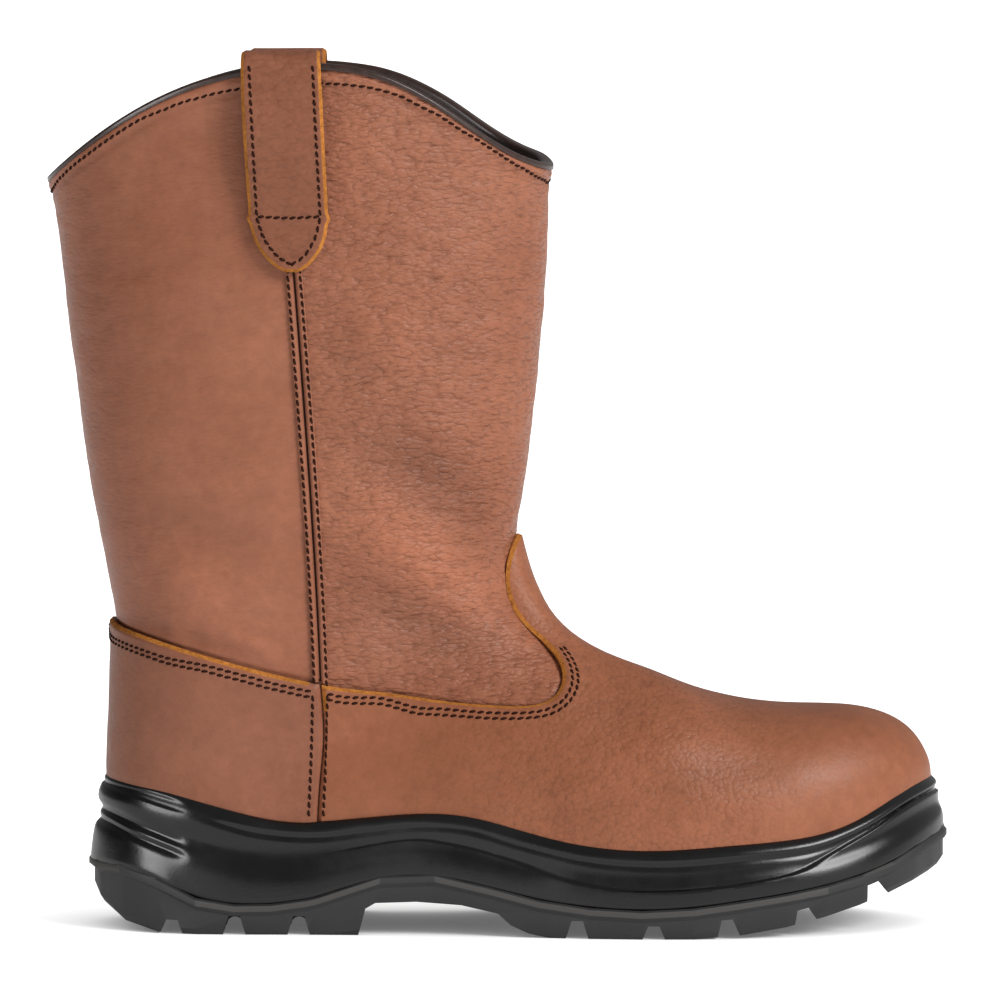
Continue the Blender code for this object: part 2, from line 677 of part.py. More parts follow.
def make_outsole(collection, cutters, finish):
    """Tread layer: flange under the midsole, wall, and lugs between cut grooves."""

    def top(x):
        return along(HEIGHTS, "x", "parting", x) - GAP

    part = top(EDGE[:, 0])
    tuck = HEEL_TUCK * smoothstep(40.0, 10.0, EDGE[:, 0])
    base = tread_height((EDGE + EDGE_OUT * (FACE + TREAD_EDGE_OUT - tuck)[:, None])[:, 0])
    rows = (
        (side_out(MIDSOLE_SIDE[-1]), part),
        (LIP_OUT - tuck / 2, part - 0.6),
        (LIP_OUT - tuck / 2, part - LIP_HEIGHT),
        (TREAD_OUT - tuck, part - LIP_HEIGHT - 1.0),
        (TREAD_OUT - tuck, base + TREAD_EDGE),
        (TREAD_EDGE_OUT - tuck, base),
    )
    loops = [sole_ring(np.zeros(COLUMNS) + out, heights) for out, heights in rows]
    made = lofted("outsole", loops, (top, tread_height), collection, finish)
    wide = 90.0
    cut(made, prism("arch_cutter", [(row.x, row.z) for row in ARCH], -wide, wide, "y", cutters))
    for number, groove in enumerate(GROOVES):
        tilt = math.atan2(tread_height(groove.x + 1) - tread_height(groove.x - 1), 2.0)
        reach = 4.0  # how far the cutter hangs below the tread
        flare = reach * (GROOVE_MOUTH - GROOVE_ROOF) / groove.depth
        local = (
            (-GROOVE_MOUTH / 2 - flare / 2, -reach),
            (GROOVE_MOUTH / 2 + flare / 2, -reach),
            (GROOVE_ROOF / 2, groove.depth),
            (-GROOVE_ROOF / 2, groove.depth),
        )
        outline = [
            (
                groove.x + u * math.cos(tilt) - v * math.sin(tilt),
                tread_height(groove.x) + u * math.sin(tilt) + v * math.cos(tilt),
            )
            for u, v in local
        ]
        cut(made, prism(f"groove_cutter_{number}", outline, -wide, wide, "y", cutters))
    for number, (start, end) in enumerate(CHANNELS):
        half = CHANNEL_WIDTH / 2
        outline = [(-half, -4.0), (half, -4.0), (half, CHANNEL_DEPTH), (-half, CHANNEL_DEPTH)]
        cut(made, prism(f"channel_cutter_{number}", outline, start, end, "x", cutters))
    return made


def make_insole(collection, finish):
    """Footbed that lies on the cup's floor inside the upper."""

    def bottom(x):
        return along(HEIGHTS, "x", "floor", x) + GAP

    def top(x):
        return bottom(x) + INSOLE

    inset = -(WALL + 0.6)
    loops = []
    for height in (bottom, top):
        ring = EDGE + EDGE_OUT * inset
        ring[:, 2] = height(ring[:, 0])
        loops.append(ring)
    return lofted("insole", loops, (bottom, top), collection, finish)


def make_upper(collection, finish):
    """Shaft and foot in one leather wall, open at the collar and over the footbed."""
    grid = GRID.copy()
    grid[BAND_ROW:] += NORMALS[BAND_ROW:] * TOPLINE_STEP
    return shell("upper", grid, ring_faces(len(grid)), WALL, False, collection, finish)


def panel_grid(columns):
    """Part of the foot, lifted off the upper by the gap, its seam ends drawn back a little."""
    grid = (GRID + NORMALS * GAP)[: LAP_ROW + 1, columns].copy()
    for end, neighbour in ((0, 1), (-1, -2)):
        run = grid[:, neighbour] - grid[:, end]
        grid[:, end] += run / np.linalg.norm(run, axis=1, keepdims=True) * GAP
    return grid


def make_vamp(collection, finish):
    columns = [*range(COLUMNS - SEAM, COLUMNS), *range(0, SEAM + 1)]
    grid = panel_grid(columns)
    return shell("vamp", grid, panel_faces(len(grid), columns), PANEL, True, collection, finish)


def make_counter(collection, finish):
    columns = list(range(SEAM, COLUMNS - SEAM + 1))
    grid = panel_grid(columns)
    return shell("counter", grid, panel_faces(len(grid), columns), PANEL, True, collection, finish)


def make_side_seam(name, middle, collection, finish):
    """Strip of leather over a side seam of the shaft, from the lap line to the turned edge."""
    rows = slice(LAP_ROW, BAND_ROW)
    columns = [middle - 1, middle, middle + 1]
    grid = (GRID + NORMALS * GAP)[rows, columns].copy()
    grid[0] += (grid[1] - grid[0]) / np.linalg.norm(grid[1] - grid[0], axis=1, keepdims=True) * (GAP + 0.2)
    return shell(name, grid, panel_faces(len(grid), columns), SEAM_HEIGHT, True, collection, finish)


def make_binding(collection, finish):
    """Dark binding folded over the rim, a closed ring of one section."""
    rim = GRID[-1] + NORMALS[-1] * TOPLINE_STEP
    up = GRID[-1] - GRID[-2]
    up = up / np.linalg.norm(up, axis=1, keepdims=True)
    rings = [rim + NORMALS[-1] * row.out + up * row.up for row in BINDING]
    points = np.concatenate(rings)
    n = len(BINDING)
    faces = []
    for s in range(n):
        for c in range(COLUMNS):
            d, t = (c + 1) % COLUMNS, (s + 1) % n
            faces.append((s * COLUMNS + c, s * COLUMNS + d, t * COLUMNS + d, t * COLUMNS + c))
    made = new_object("collar_binding", points, faces, collection, finish)
    face_out(made)
    return made


def strap_point(side, x, z, out):
    """A point out from the shaft's side, measured along its normal."""
    origin = np.array([[x, 0.0, z]])
    hit = ray_hits(origin, np.array([[0.0, side, 0.0]]))
    return (hit + form_normals(hit) * out)[0]


def make_strap(name, side, collection, finish):
    """Pull strap: sewn to the outside, over the rim and sewn to the inside."""
    grid = []
    for row in STRAP:
        z = STRAP_FROM + row.up
        middle = STRAP_TOP_X + (STRAP_TIP_X - STRAP_TOP_X) * np.clip(-row.up, 0, 75) / 75
        offsets = (np.arange(STRAP_CELLS + 1) / STRAP_CELLS - 0.5) * STRAP_WIDTH * row.share
        grid.append([strap_point(side, middle + side * offset, z, row.out) for offset in offsets])
    faces = panel_faces(len(grid), [0] * (STRAP_CELLS + 1))
    return shell(name, np.array(grid), faces, STRAP_THICKNESS, True, collection, finish)


def new_collection(name):
    made = bpy.data.collections.new(name)
    bpy.context.scene.collection.children.link(made)
    return made


def main():
    for obj in list(bpy.data.objects):
        bpy.data.objects.remove(obj)
    boot = new_collection("rigger_boot")
    cutters = new_collection("cutters")
    leather = material("tan leather", (0.27, 0.10, 0.05), 0.5)
    strap_leather = material("strap leather", (0.25, 0.10, 0.05), 0.55)
    binding = material("dark binding", (0.03, 0.02, 0.017), 0.35)
    rubber = material("black rubber", (0.012, 0.012, 0.012), 0.4)
    tread = material("tread rubber", (0.02, 0.02, 0.02), 0.55)
    fabric = material("footbed fabric", (0.06, 0.05, 0.045), 0.9)
    make_outsole(boot, cutters, tread)
    make_midsole(boot, rubber)
    make_insole(boot, fabric)
    make_upper(boot, leather)
    make_vamp(boot, leather)
    make_counter(boot, leather)
    make_side_seam("side_seam_outer", SEAM, boot, leather)
    make_side_seam("side_seam_inner", COLUMNS - SEAM, boot, leather)
    make_binding(boot, binding)
    make_strap("pull_strap_outer", -1, boot, strap_leather)
    make_strap("pull_strap_inner", 1, boot, strap_leather)


main()
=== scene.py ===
import json
import math

import bpy
import numpy as np
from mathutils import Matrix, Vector, noise
from mathutils.bvhtree import BVHTree

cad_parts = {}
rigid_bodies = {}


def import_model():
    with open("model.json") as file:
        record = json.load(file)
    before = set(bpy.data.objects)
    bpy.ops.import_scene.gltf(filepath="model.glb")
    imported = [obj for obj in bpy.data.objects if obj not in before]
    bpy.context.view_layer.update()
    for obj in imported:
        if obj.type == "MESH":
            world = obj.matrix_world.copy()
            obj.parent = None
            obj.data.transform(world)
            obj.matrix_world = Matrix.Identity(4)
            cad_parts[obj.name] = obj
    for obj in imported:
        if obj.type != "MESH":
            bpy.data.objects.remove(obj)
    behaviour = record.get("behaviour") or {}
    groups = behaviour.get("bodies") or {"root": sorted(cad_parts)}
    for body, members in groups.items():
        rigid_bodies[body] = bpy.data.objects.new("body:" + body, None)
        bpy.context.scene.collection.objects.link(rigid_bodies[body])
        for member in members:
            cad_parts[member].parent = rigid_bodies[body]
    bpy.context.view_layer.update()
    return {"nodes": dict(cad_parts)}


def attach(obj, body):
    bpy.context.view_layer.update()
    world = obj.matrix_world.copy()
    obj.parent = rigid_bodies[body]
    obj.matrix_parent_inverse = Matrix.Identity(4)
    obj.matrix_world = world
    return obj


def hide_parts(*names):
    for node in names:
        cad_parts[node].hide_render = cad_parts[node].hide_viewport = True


for leftover in list(bpy.data.objects):  # the startup cube, lamp and camera
    bpy.data.objects.remove(leftover)
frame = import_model()
print("frame loaded,", len(frame["nodes"]), "pieces")

# Sizes below are millimetres on the boot itself: x forward from the back of the sole,
# y across (minus is the outer side, which faces the camera), z up from the floor
backOfSole = 146.1  # how far the back of the sole lies behind the origin
legMiddle, footMiddle, collarMiddle = (80, 0, 0), (80, 0, 60), (76, 0, 0)  # outward starts from these


def toScene(points):  # boot millimetres to scene metres
    return (np.asarray(points, float) - (backOfSole, 0, 0)) * 0.001


def fromScene(points):
    return np.asarray(points, float) * 1000 + (backOfSole, 0, 0)


def readVectors(items, name):
    flat = np.empty(len(items) * 3, np.float32)
    items.foreach_get(name, flat)
    return flat.reshape(-1, 3).astype(float)


def meshPoints(piece):
    return fromScene(readVectors(piece.data.vertices, "co"))


def meshNormals(piece):
    return readVectors(piece.data.vertex_normals, "vector")


def setPoints(piece, points):
    piece.data.vertices.foreach_set("co", toScene(points).astype(np.float32).ravel())
    piece.data.update()


def faceCentres(piece):
    return fromScene(readVectors(piece.data.polygons, "center"))


def faceNormals(piece):
    return readVectors(piece.data.polygons, "normal")


def surfaceOf(piece):
    return BVHTree.FromPolygons(meshPoints(piece).tolist(), [list(f.vertices) for f in piece.data.polygons])


def pickOnly(piece):
    bpy.ops.object.select_all(action="DESELECT")
    piece.select_set(True)
    bpy.context.view_layer.objects.active = piece


def pickNothing(piece):  # the piece is active with none of its mesh selected
    pickOnly(piece)
    bpy.ops.object.mode_set(mode="EDIT")
    bpy.ops.mesh.select_all(action="DESELECT")
    bpy.ops.object.mode_set(mode="OBJECT")


def enterEdit(kind):  # edit mode, with what is picked in the mesh kept
    bpy.context.tool_settings.mesh_select_mode = [kind == each for each in ("VERT", "EDGE", "FACE")]
    bpy.ops.object.mode_set(mode="EDIT")


def leaveEdit():
    bpy.ops.mesh.select_mode(type="VERT")
    bpy.ops.object.mode_set(mode="OBJECT")


def startFromNode(nodeName, pieceName, *materials):
    piece = bpy.data.objects.new(pieceName, frame["nodes"][nodeName].data.copy())
    piece.data.name = pieceName
    piece.data.materials.clear()
    for material in materials:
        piece.data.materials.append(material)
    bpy.context.scene.collection.objects.link(piece)
    pickOnly(piece)
    bpy.ops.mesh.customdata_custom_splitnormals_clear()
    bpy.ops.object.mode_set(mode="EDIT")
    bpy.ops.mesh.select_all(action="SELECT")
    bpy.ops.mesh.remove_doubles(threshold=0.00001)
    bpy.ops.mesh.tris_convert_to_quads(
        face_threshold=math.pi, shape_threshold=math.pi, topology_influence=2.0,
    )
    bpy.ops.object.mode_set(mode="OBJECT")
    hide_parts(nodeName)
    return piece


def creaseSharp(piece, degrees, crease):  # keeps cut edges crisp when the sheet is subdivided
    pickNothing(piece)
    enterEdit("EDGE")
    bpy.ops.mesh.edges_select_sharp(sharpness=math.radians(degrees))
    bpy.ops.transform.edge_crease(value=crease)
    leaveEdit()


def holdSize(piece, most=0.8):  # pushes points out, by up to so many mm, against the draw of the subdivision
    points = meshPoints(piece)
    ends = np.array([e.vertices[:] for e in piece.data.edges])
    sharp = np.zeros(len(ends))
    if "crease_edge" in piece.data.attributes:
        piece.data.attributes["crease_edge"].data.foreach_get("value", sharp)
    sharp = sharp > 0.4

    def middleOf(links):
        total, count = np.zeros_like(points), np.zeros(len(points))
        for a, b in ((0, 1), (1, 0)):
            np.add.at(total, links[:, a], points[links[:, b]])
            np.add.at(count, links[:, a], 1)
        return total / np.maximum(count, 1)[:, None], count

    around, _ = middleOf(ends)
    along, sharpCount = middleOf(ends[sharp])
    push = np.where((sharpCount == 0)[:, None], (points - around) * 2 / 3, 0)
    push = np.where((sharpCount == 2)[:, None], (points - along) / 3, push)
    length = np.linalg.norm(push, axis=1, keepdims=True)
    setPoints(piece, points + push * np.minimum(1, most / np.maximum(length, 1e-9)))


def creaseAmong(piece, chosen, crease):  # creases the edges that join two chosen points
    pickNothing(piece)
    for edge in piece.data.edges:
        edge.select = bool(chosen[list(edge.vertices)].all())
    enterEdit("EDGE")
    bpy.ops.transform.edge_crease(value=crease)
    leaveEdit()


def subdivideSmooth(piece, levels):
    pickOnly(piece)
    smoother = piece.modifiers.new("smooth", "SUBSURF")
    smoother.levels = levels
    smoother.render_levels = levels
    bpy.ops.object.modifier_apply(modifier=smoother.name)


def paintFaces(piece, second):  # which faces have the piece's second material
    piece.data.polygons.foreach_set("material_index", second.astype(np.int32))


def finishPiece(piece, smoothDegrees):
    pickOnly(piece)
    bpy.ops.object.shade_smooth_by_angle(angle=math.radians(smoothDegrees))
    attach(piece, "root")
    print(piece.name, "made,", sum(len(f.vertices) - 2 for f in piece.data.polygons), "triangles")


def smoothRun(points, step):  # evenly spaced points on a smooth curve through given ones
    points = np.asarray(points, float)
    padded = np.vstack([2 * points[0] - points[1], points, 2 * points[-1] - points[-2]])
    fine = []
    for i in range(len(points) - 1):
        before, start, end, after = padded[i:i + 4]
        for t in np.linspace(0, 1, 24, endpoint=False):
            bend = 2 * before - 5 * start + 4 * end - after
            twist = 3 * start - before - 3 * end + after
            fine.append(start + 0.5 * t * ((end - before) + t * (bend + t * twist)))
    return evenRun(np.array(fine + [points[-1]]), step)


def evenRun(points, step):
    run = np.concatenate([[0], np.cumsum(np.linalg.norm(np.diff(points, axis=0), axis=1))])
    wanted = np.linspace(0, run[-1], max(2, round(run[-1] / step) + 1))
    return np.stack([np.interp(wanted, run, axis) for axis in points.T], axis=1)


def calmed(path, rounds):  # small kinks smoothed out of an open run
    path = path.copy()
    for _ in range(rounds):
        path[1:-1] = (path[:-2] + 2 * path[1:-1] + path[2:]) / 4
    return path


def snapTo(tree, path):
    hits = [tree.find_nearest(Vector(p)) for p in path]
    return np.array([hit[0] for hit in hits]), np.array([hit[1] for hit in hits])


def unit(vectors):
    return vectors / np.maximum(np.linalg.norm(vectors, axis=-1, keepdims=True), 1e-9)


def smoothStep(low, high, x):
    t = np.clip((x - low) / (high - low), 0, 1)
    return t * t * (3 - 2 * t)


def bell(x, width):  # 1 at nought, fading away to both sides
    return np.exp(-0.5 * (x / width) ** 2)


def outwardFrom(middle, points):  # level directions away from an upright axis
    return unit((points - middle) * (1, 1, 0))


def readTable(rows, x):  # rows of (x, value, ...), read smoothly between them
    rows = np.asarray(rows, float)
    out = []
    for values in rows[:, 1:].T:
        slopes = np.gradient(values, rows[:, 0])
        at = np.clip(x, rows[0, 0], rows[-1, 0])
        i = np.clip(np.searchsorted(rows[:, 0], at) - 1, 0, len(rows) - 2)
        width = rows[i + 1, 0] - rows[i, 0]
        t = (at - rows[i, 0]) / width
        rise = values[i + 1] - values[i]
        start, end = slopes[i] * width, slopes[i + 1] * width
        out.append(values[i] + t * (start + t * (3 * rise - 2 * start - end + t * (start + end - 2 * rise))))
    return out


def nearestOnPath(points, path):  # which point of the path is nearest, and how far off
    square = (points**2).sum(1)[:, None] + (path**2).sum(1)[None] - 2 * points @ path.T
    nearest = square.argmin(1)
    return nearest, np.sqrt(np.maximum(square[np.arange(len(points)), nearest], 0))


def pressLines(piece, lines, movable):  # soft troughs (depth above 0) and ridges (below 0), on both sides
    points, normals = meshPoints(piece), meshNormals(piece)
    tree = surfaceOf(piece)
    sunk = np.zeros(len(points))
    for width, depth, places in lines:
        for side in (1, -1):
            path = smoothRun([(x, side * y, z) for x, y, z in places], 1.5)
            path, facing = snapTo(tree, path)
            nearest, away = nearestOnPath(points, path)
            along = nearest / max(1, len(path) - 1)
            fade = np.clip(np.sin(math.pi * np.clip(along, 0.03, 0.97)), 0, 1) ** 0.6
            sameWay = (normals * facing[nearest]).sum(1) > 0.3
            sunk += np.where(sameWay, depth * fade * bell(away, width), 0)
    sunk = np.where(movable, sunk, 0)
    setPoints(piece, points - normals * sunk[:, None])
    return sunk


def ripples(points, layers):  # slow waviness of a hide: sizes in mm, seed and share of each layer of noise
    total = np.zeros(len(points))
    for sizes, seed, share in layers:
        total += share * np.array([noise.noise(Vector(p)) for p in points / sizes + seed])
    return total


def storeOnPoints(piece, name, values):
    made = piece.data.attributes.new(name, "FLOAT", "POINT")
    made.data.foreach_set("value", np.asarray(values, np.float32))


def facesAway(piece, tree):  # how far each face looks away from what it lies on, -1 to 1
    centres = faceCentres(piece)
    return (unit(centres - snapTo(tree, centres)[0]) * faceNormals(piece)).sum(1)


# Colours and materials


def colour(hexText):  # sRGB hex to linear
    parts = [int(hexText[i:i + 2], 16) / 255 for i in (1, 3, 5)]
    return (*[c / 12.92 if c <= 0.04045 else ((c + 0.055) / 1.055) ** 2.4 for c in parts], 1.0)


def addNode(tree, kind, settings=None, values=None, links=None):
    node = tree.nodes.new(kind)
    for name, value in (settings or {}).items():
        setattr(node, name, value)
    for socket, value in (values or {}).items():
        node.inputs[socket].default_value = value
    for socket, source in (links or {}).items():
        tree.links.new(source, node.inputs[socket])
    return node


def newMaterial(name, shaderValues):
    made = bpy.data.materials.new(name)
    made.use_nodes = True
    tree = made.node_tree
    shader = tree.nodes["Principled BSDF"]
    for socket, value in shaderValues.items():
        shader.inputs[socket].default_value = value
    place = addNode(tree, "ShaderNodeTexCoord").outputs["Object"]
    return made, tree, shader, place


def perMetre(millimetres):  # how many of a size fit in a metre, for pattern scales
    return 1000 / millimetres


def addNoise(tree, place, millimetres, detail, rough=0.5):
    return addNode(
        tree, "ShaderNodeTexNoise",
        values={"Scale": perMetre(millimetres), "Detail": detail, "Roughness": rough},
        links={"Vector": place},
    ).outputs["Fac"]


def addRange(tree, source, low, high, toLow, toHigh):
    return addNode(
        tree, "ShaderNodeMapRange",
        values={"From Min": low, "From Max": high, "To Min": toLow, "To Max": toHigh},
        links={"Value": source},
    ).outputs[0]


def addTones(tree, dark, light, share):  # from one colour to the other
    return addNode(
        tree, "ShaderNodeMix", {"data_type": "RGBA"}, {6: colour(dark), 7: colour(light)}, {0: share},
    ).outputs[2]


def addShade(tree, tone, factor):
    return addNode(
        tree, "ShaderNodeVectorMath", {"operation": "SCALE"}, links={0: tone, "Scale": factor},
    ).outputs[0]


def addMath(tree, operation, first, second):
    return addNode(tree, "ShaderNodeMath", {"operation": operation}, links={0: first, 1: second}).outputs[0]


def addBump(tree, height, strength, millimetres):
    return addNode(
        tree, "ShaderNodeBump", values={"Strength": strength, "Distance": millimetres * 0.001},
        links={"Height": height},
    ).outputs[0]


def readPoints(tree, name):  # values stored on the mesh
    return addNode(tree, "ShaderNodeAttribute", {"attribute_name": name}).outputs["Fac"]


def plugIn(tree, shader, sources):
    for socket, source in sources.items():
        tree.links.new(source, shader.inputs[socket])


def grainLayer(tree, place, layer):  # cells so many mm long and tall, parted by creases
    cellPlace = addNode(
        tree, "ShaderNodeMapping",
        values={"Scale": (perMetre(layer["long"]), perMetre(layer["long"]), perMetre(layer["tall"]))},
        links={"Vector": place},
    ).outputs[0]
    wander = addNode(
        tree, "ShaderNodeTexNoise", values={"Scale": 0.8, "Detail": 2.0}, links={"Vector": cellPlace},
    ).outputs["Color"]
    wavy = addNode(
        tree, "ShaderNodeVectorMath", {"operation": "MULTIPLY_ADD"}, {1: (layer["twist"],) * 3},
        {0: wander, 2: cellPlace},
    ).outputs[0]
    fromMiddle = addNode(
        tree, "ShaderNodeTexVoronoi", {"feature": "F1"}, {"Scale": 1.0, "Randomness": 1.0}, {"Vector": wavy},
    ).outputs["Distance"]
    slope = addMath(tree, "MULTIPLY", fromMiddle, fromMiddle)
    height = addNode(
        tree, "ShaderNodeMath", {"operation": "MULTIPLY"}, {1: -layer["deep"] * 2}, {0: slope},
    ).outputs[0]
    # painted shade: darker along the creases between the cells, by the layer's dark share
    crease = addNode(
        tree, "ShaderNodeMapRange", {"interpolation_type": "SMOOTHSTEP"},
        {"From Min": 0.2, "From Max": 0.6, "To Min": 1.0, "To Max": 1 - layer["dark"]}, {"Value": slope},
    ).outputs[0]
    return height, crease


# Tumbled full-grain cowhide, drum dyed and waxed: rounded cells parted by fine creases with painted
# shade in them, a slow drift from tan to rust, and a soft wax gloss that breaks up on the grain
def tumbledCowhide(name, look):
    made, tree, shader, place = newMaterial(
        name, {"IOR": 1.45, "Specular IOR Level": 0.3, "Coat Weight": look["wax"], "Coat Roughness": 0.34},
    )
    cloud = addRange(tree, addNoise(tree, place, 55, 4.0, 0.6), 0.3, 0.7, 0, 1)
    mottle = addNoise(tree, place, 4.5, 5.0, 0.65)
    tone = addTones(tree, look["dark"], look["light"], cloud)
    tone = addShade(tree, tone, addRange(tree, mottle, 0.25, 0.75, 1 - look["mottle"], 1 + look["mottle"]))
    share = readPoints(tree, "grain")  # of the full grain
    fine, coarse = [grainLayer(tree, place, layer) for layer in look["grain"]]
    paintedCreaseShade = addNode(
        tree, "ShaderNodeMix", {"data_type": "FLOAT"}, {2: 1.0},
        {0: share, 3: addMath(tree, "MULTIPLY", fine[1], coarse[1])},
    ).outputs[0]
    tone = addShade(tree, tone, paintedCreaseShade)
    paintedReliefShade = readPoints(tree, "paintedReliefShade")  # mm pressed in
    # painted shade in folds, grooves and hollows, and a painted highlight on swells and ridges; on the shaft
    # folds it also stands for the paling of stretched pull-up leather
    tone = addShade(tree, tone, addRange(tree, paintedReliefShade, -1.5, 1.5, 1.28, 0.72))
    grainHeight = addMath(tree, "MULTIPLY", addMath(tree, "ADD", fine[0], coarse[0]), share)
    height = addNode(
        tree, "ShaderNodeMath", {"operation": "MULTIPLY_ADD"}, {1: look["pores"]},
        {0: addNoise(tree, place, 0.9, 2.0, 0.6), 2: grainHeight},
    ).outputs[0]
    plugIn(tree, shader, {
        "Base Color": tone, "Normal": addBump(tree, height, 1.0, 1.0),
        "Roughness": addRange(tree, mottle, 0.3, 0.7, look["rough"] - 0.08, look["rough"] + 0.08),
    })
    return made


# Cut edge of the hide: bare fibres without dye, so a dry yellow tan that is uneven along its length
def rawEdge(name):
    made, tree, shader, place = newMaterial(name, {"Roughness": 0.85, "IOR": 1.45, "Specular IOR Level": 0.2})
    fibre = addNoise(tree, place, 1.6, 5.0, 0.7)
    ramp = addNode(tree, "ShaderNodeValToRGB", links={"Fac": fibre})
    for number, at, hexText in ((0, 0.3, "#945726"), (1, 0.62, "#c68039")):
        ramp.color_ramp.elements[number].position = at
        ramp.color_ramp.elements[number].color = colour(hexText)
    patchy = addRange(tree, addNoise(tree, place, 14, 2.0), 0.3, 0.7, 0.78, 1.1)
    plugIn(tree, shader, {
        "Base Color": addShade(tree, ramp.outputs["Color"], patchy), "Normal": addBump(tree, fibre, 0.8, 0.2),
    })
    return made


def onePattern(name, shaderValues, tones, pattern, bump):  # one noise gives both the tone and the relief
    made, tree, shader, place = newMaterial(name, shaderValues)
    share = addNoise(tree, place, *pattern)
    plugIn(tree, shader, {"Base Color": addTones(tree, *tones, share), "Normal": addBump(tree, share, *bump)})
    return made, tree, shader, share


# Coated binding tape: smooth dark brown film with a tight gloss and faint drag lines
def coatedBinding(name):
    made, tree, shader, cloud = onePattern(
        name, {"IOR": 1.45, "Specular IOR Level": 0.3, "Coat Weight": 0.3, "Coat Roughness": 0.16},
        ("#2a1c17", "#46312a"), (3, 4.0), (0.5, 0.1),
    )
    plugIn(tree, shader, {"Roughness": addRange(tree, cloud, 0.3, 0.7, 0.28, 0.42)})
    return made


# Moulded rubber or polyurethane: near black, a satin skin with a fine mould grit and duller patches
def mouldedRubber(name, look):
    made, tree, shader, place = newMaterial(
        name, {"IOR": 1.42, "Coat Weight": look["skin"], "Coat Roughness": 0.2},
    )
    grit = addNoise(tree, place, look["grit"], 3.0, 0.65)
    bloom = addNoise(tree, place, 26, 4.0, 0.6)
    plugIn(tree, shader, {
        "Base Color": addTones(tree, look["dark"], look["light"], bloom),
        "Roughness": addRange(tree, bloom, 0.3, 0.7, look["rough"] - 0.08, look["rough"] + 0.1),
        "Normal": addBump(tree, grit, 1.0, look["gritHeight"]),
    })
    return made


# Brushed textile, as lining or footbed cover: matt, with a soft nap and short fibres
def brushedTextile(name, dark, light, fibreSize):
    return onePattern(
        name, {"Roughness": 0.95, "IOR": 1.4, "Sheen Weight": 0.25, "Sheen Roughness": 0.6},
        (dark, light), (fibreSize, 5.0, 0.7), (1.0, 0.3),
    )[0]


# Bonded polyester thread: dark brown and dull, uneven from ply to ply
def sewingThread(name, dark, light):
    return onePattern(
        name, {"Roughness": 0.6, "IOR": 1.5, "Specular IOR Level": 0.08},
        (dark, light), (0.5, 2.0), (0.6, 0.2),
    )[0]


shaftLook = {
    "dark": "#965b41", "light": "#a5694f", "mottle": 0.12, "rough": 0.43, "wax": 0.03, "pores": 0.06,
    "grain": [
        {"long": 3.0, "tall": 1.15, "deep": 0.26, "dark": 0.14, "twist": 1.3},
        {"long": 12.0, "tall": 5.0, "deep": 0.5, "dark": 0.03, "twist": 1.2},
    ],
}
vampLook = {
    "dark": "#91573b", "light": "#a5674a", "mottle": 0.12, "rough": 0.46, "wax": 0.03, "pores": 0.08,
    "grain": [
        {"long": 1.8, "tall": 1.5, "deep": 0.13, "dark": 0.12, "twist": 0.9},
        {"long": 7.0, "tall": 4.5, "deep": 0.1, "dark": 0.0, "twist": 0.9},
    ],
}
counterLook = {**vampLook, "dark": "#8b5640", "light": "#9c644b"}  # the same hide, a little browner
strapLook = {
    "dark": "#88523a", "light": "#965e46", "mottle": 0.12, "rough": 0.5, "wax": 0.02, "pores": 0.06,
    "grain": [
        {"long": 2.4, "tall": 1.4, "deep": 0.1, "dark": 0.1, "twist": 0.9},
        {"long": 9.0, "tall": 3.5, "deep": 0.3, "dark": 0.0, "twist": 0.9},
    ],
}
shaftLeather = tumbledCowhide("tumbledCowhideShaft", shaftLook)
vampLeather = tumbledCowhide("tumbledCowhideVamp", vampLook)
counterLeather = tumbledCowhide("tumbledCowhideCounter", counterLook)
strapLeather = tumbledCowhide("tumbledCowhideStrap", strapLook)
cutEdge = rawEdge("rawHideEdge")
bindingFilm = coatedBinding("coatedBindingTape")
midsoleRubber = mouldedRubber(
    "polyurethaneMidsole",
    {"dark": "#080707", "light": "#110f0f", "rough": 0.26, "skin": 0.15, "grit": 0.9, "gritHeight": 0.04},
)
treadRubber = mouldedRubber(
    "nitrileTread",
    {"dark": "#242425", "light": "#313132", "rough": 0.55, "skin": 0.0, "grit": 0.7, "gritHeight": 0.08},
)
# paler rubber for the lip: a painted highlight where the lip catches the light
paintedHighlightLipRubber = mouldedRubber(
    "nitrileLipPaintedHighlight",
    {"dark": "#3b3a39", "light": "#4c4a48", "rough": 0.6, "skin": 0.0, "grit": 0.5, "gritHeight": 0.1},
)
liningCloth = brushedTextile("brushedLining", "#4a3b31", "#6d5a4b", 0.9)
footbedCloth = brushedTextile("needledFootbed", "#2b2927", "#4a4743", 1.1)
darkThread = sewingThread("bondedThread", "#220f09", "#3f2015")
# near black, laid as painted shade in the needle holes and in the side seam grooves
paintedGrooveAndHoleShade = sewingThread("needleHoleShade", "#1a0b07", "#28130c")
print("materials made")

# Lines that several pieces share: the side seam as (x, z), and the edge of vamp and counter over the
# shaft, from the tongue round to the back
seamLine = [(69.6, 305), (71.6, 280), (75.0, 236), (78.4, 190.7), (81.3, 147.9), (83.2, 112.2), (84.0, 89.3)]
footSeamLine = [(83.9, 84), (83.2, 60), (82.4, 43)]
lapLine = [
    (152.9, 0, 140.3), (151.4, 8, 138.8), (150, 10.8, 134.5), (150.2, 12.4, 129), (151.3, 13.6, 123),
    (153.6, 14.8, 117), (157.2, 16.6, 111), (162, 19, 105), (166.4, 22.4, 99.6), (169.2, 26.5, 94),
    (170.2, 30.3, 89.3), (168.5, 34, 84.5), (164.5, 35.4, 81.7), (157, 35.5, 80.8), (140, 34.6, 81.4),
    (114, 36, 84.6), (84, 37, 89), (50, 36.5, 97.5), (24, 24, 106), (10, 0, 110.5),
]


def seamAt(z):
    return np.interp(z, [at for x, at in seamLine][::-1], [x for x, at in seamLine][::-1])


# Collar binding, a rolled tape
binding = startFromNode("collar_binding", "collarBinding", bindingFilm)
creaseSharp(binding, 30, 0.45)
subdivideSmooth(binding, 2)
finishPiece(binding, 60)

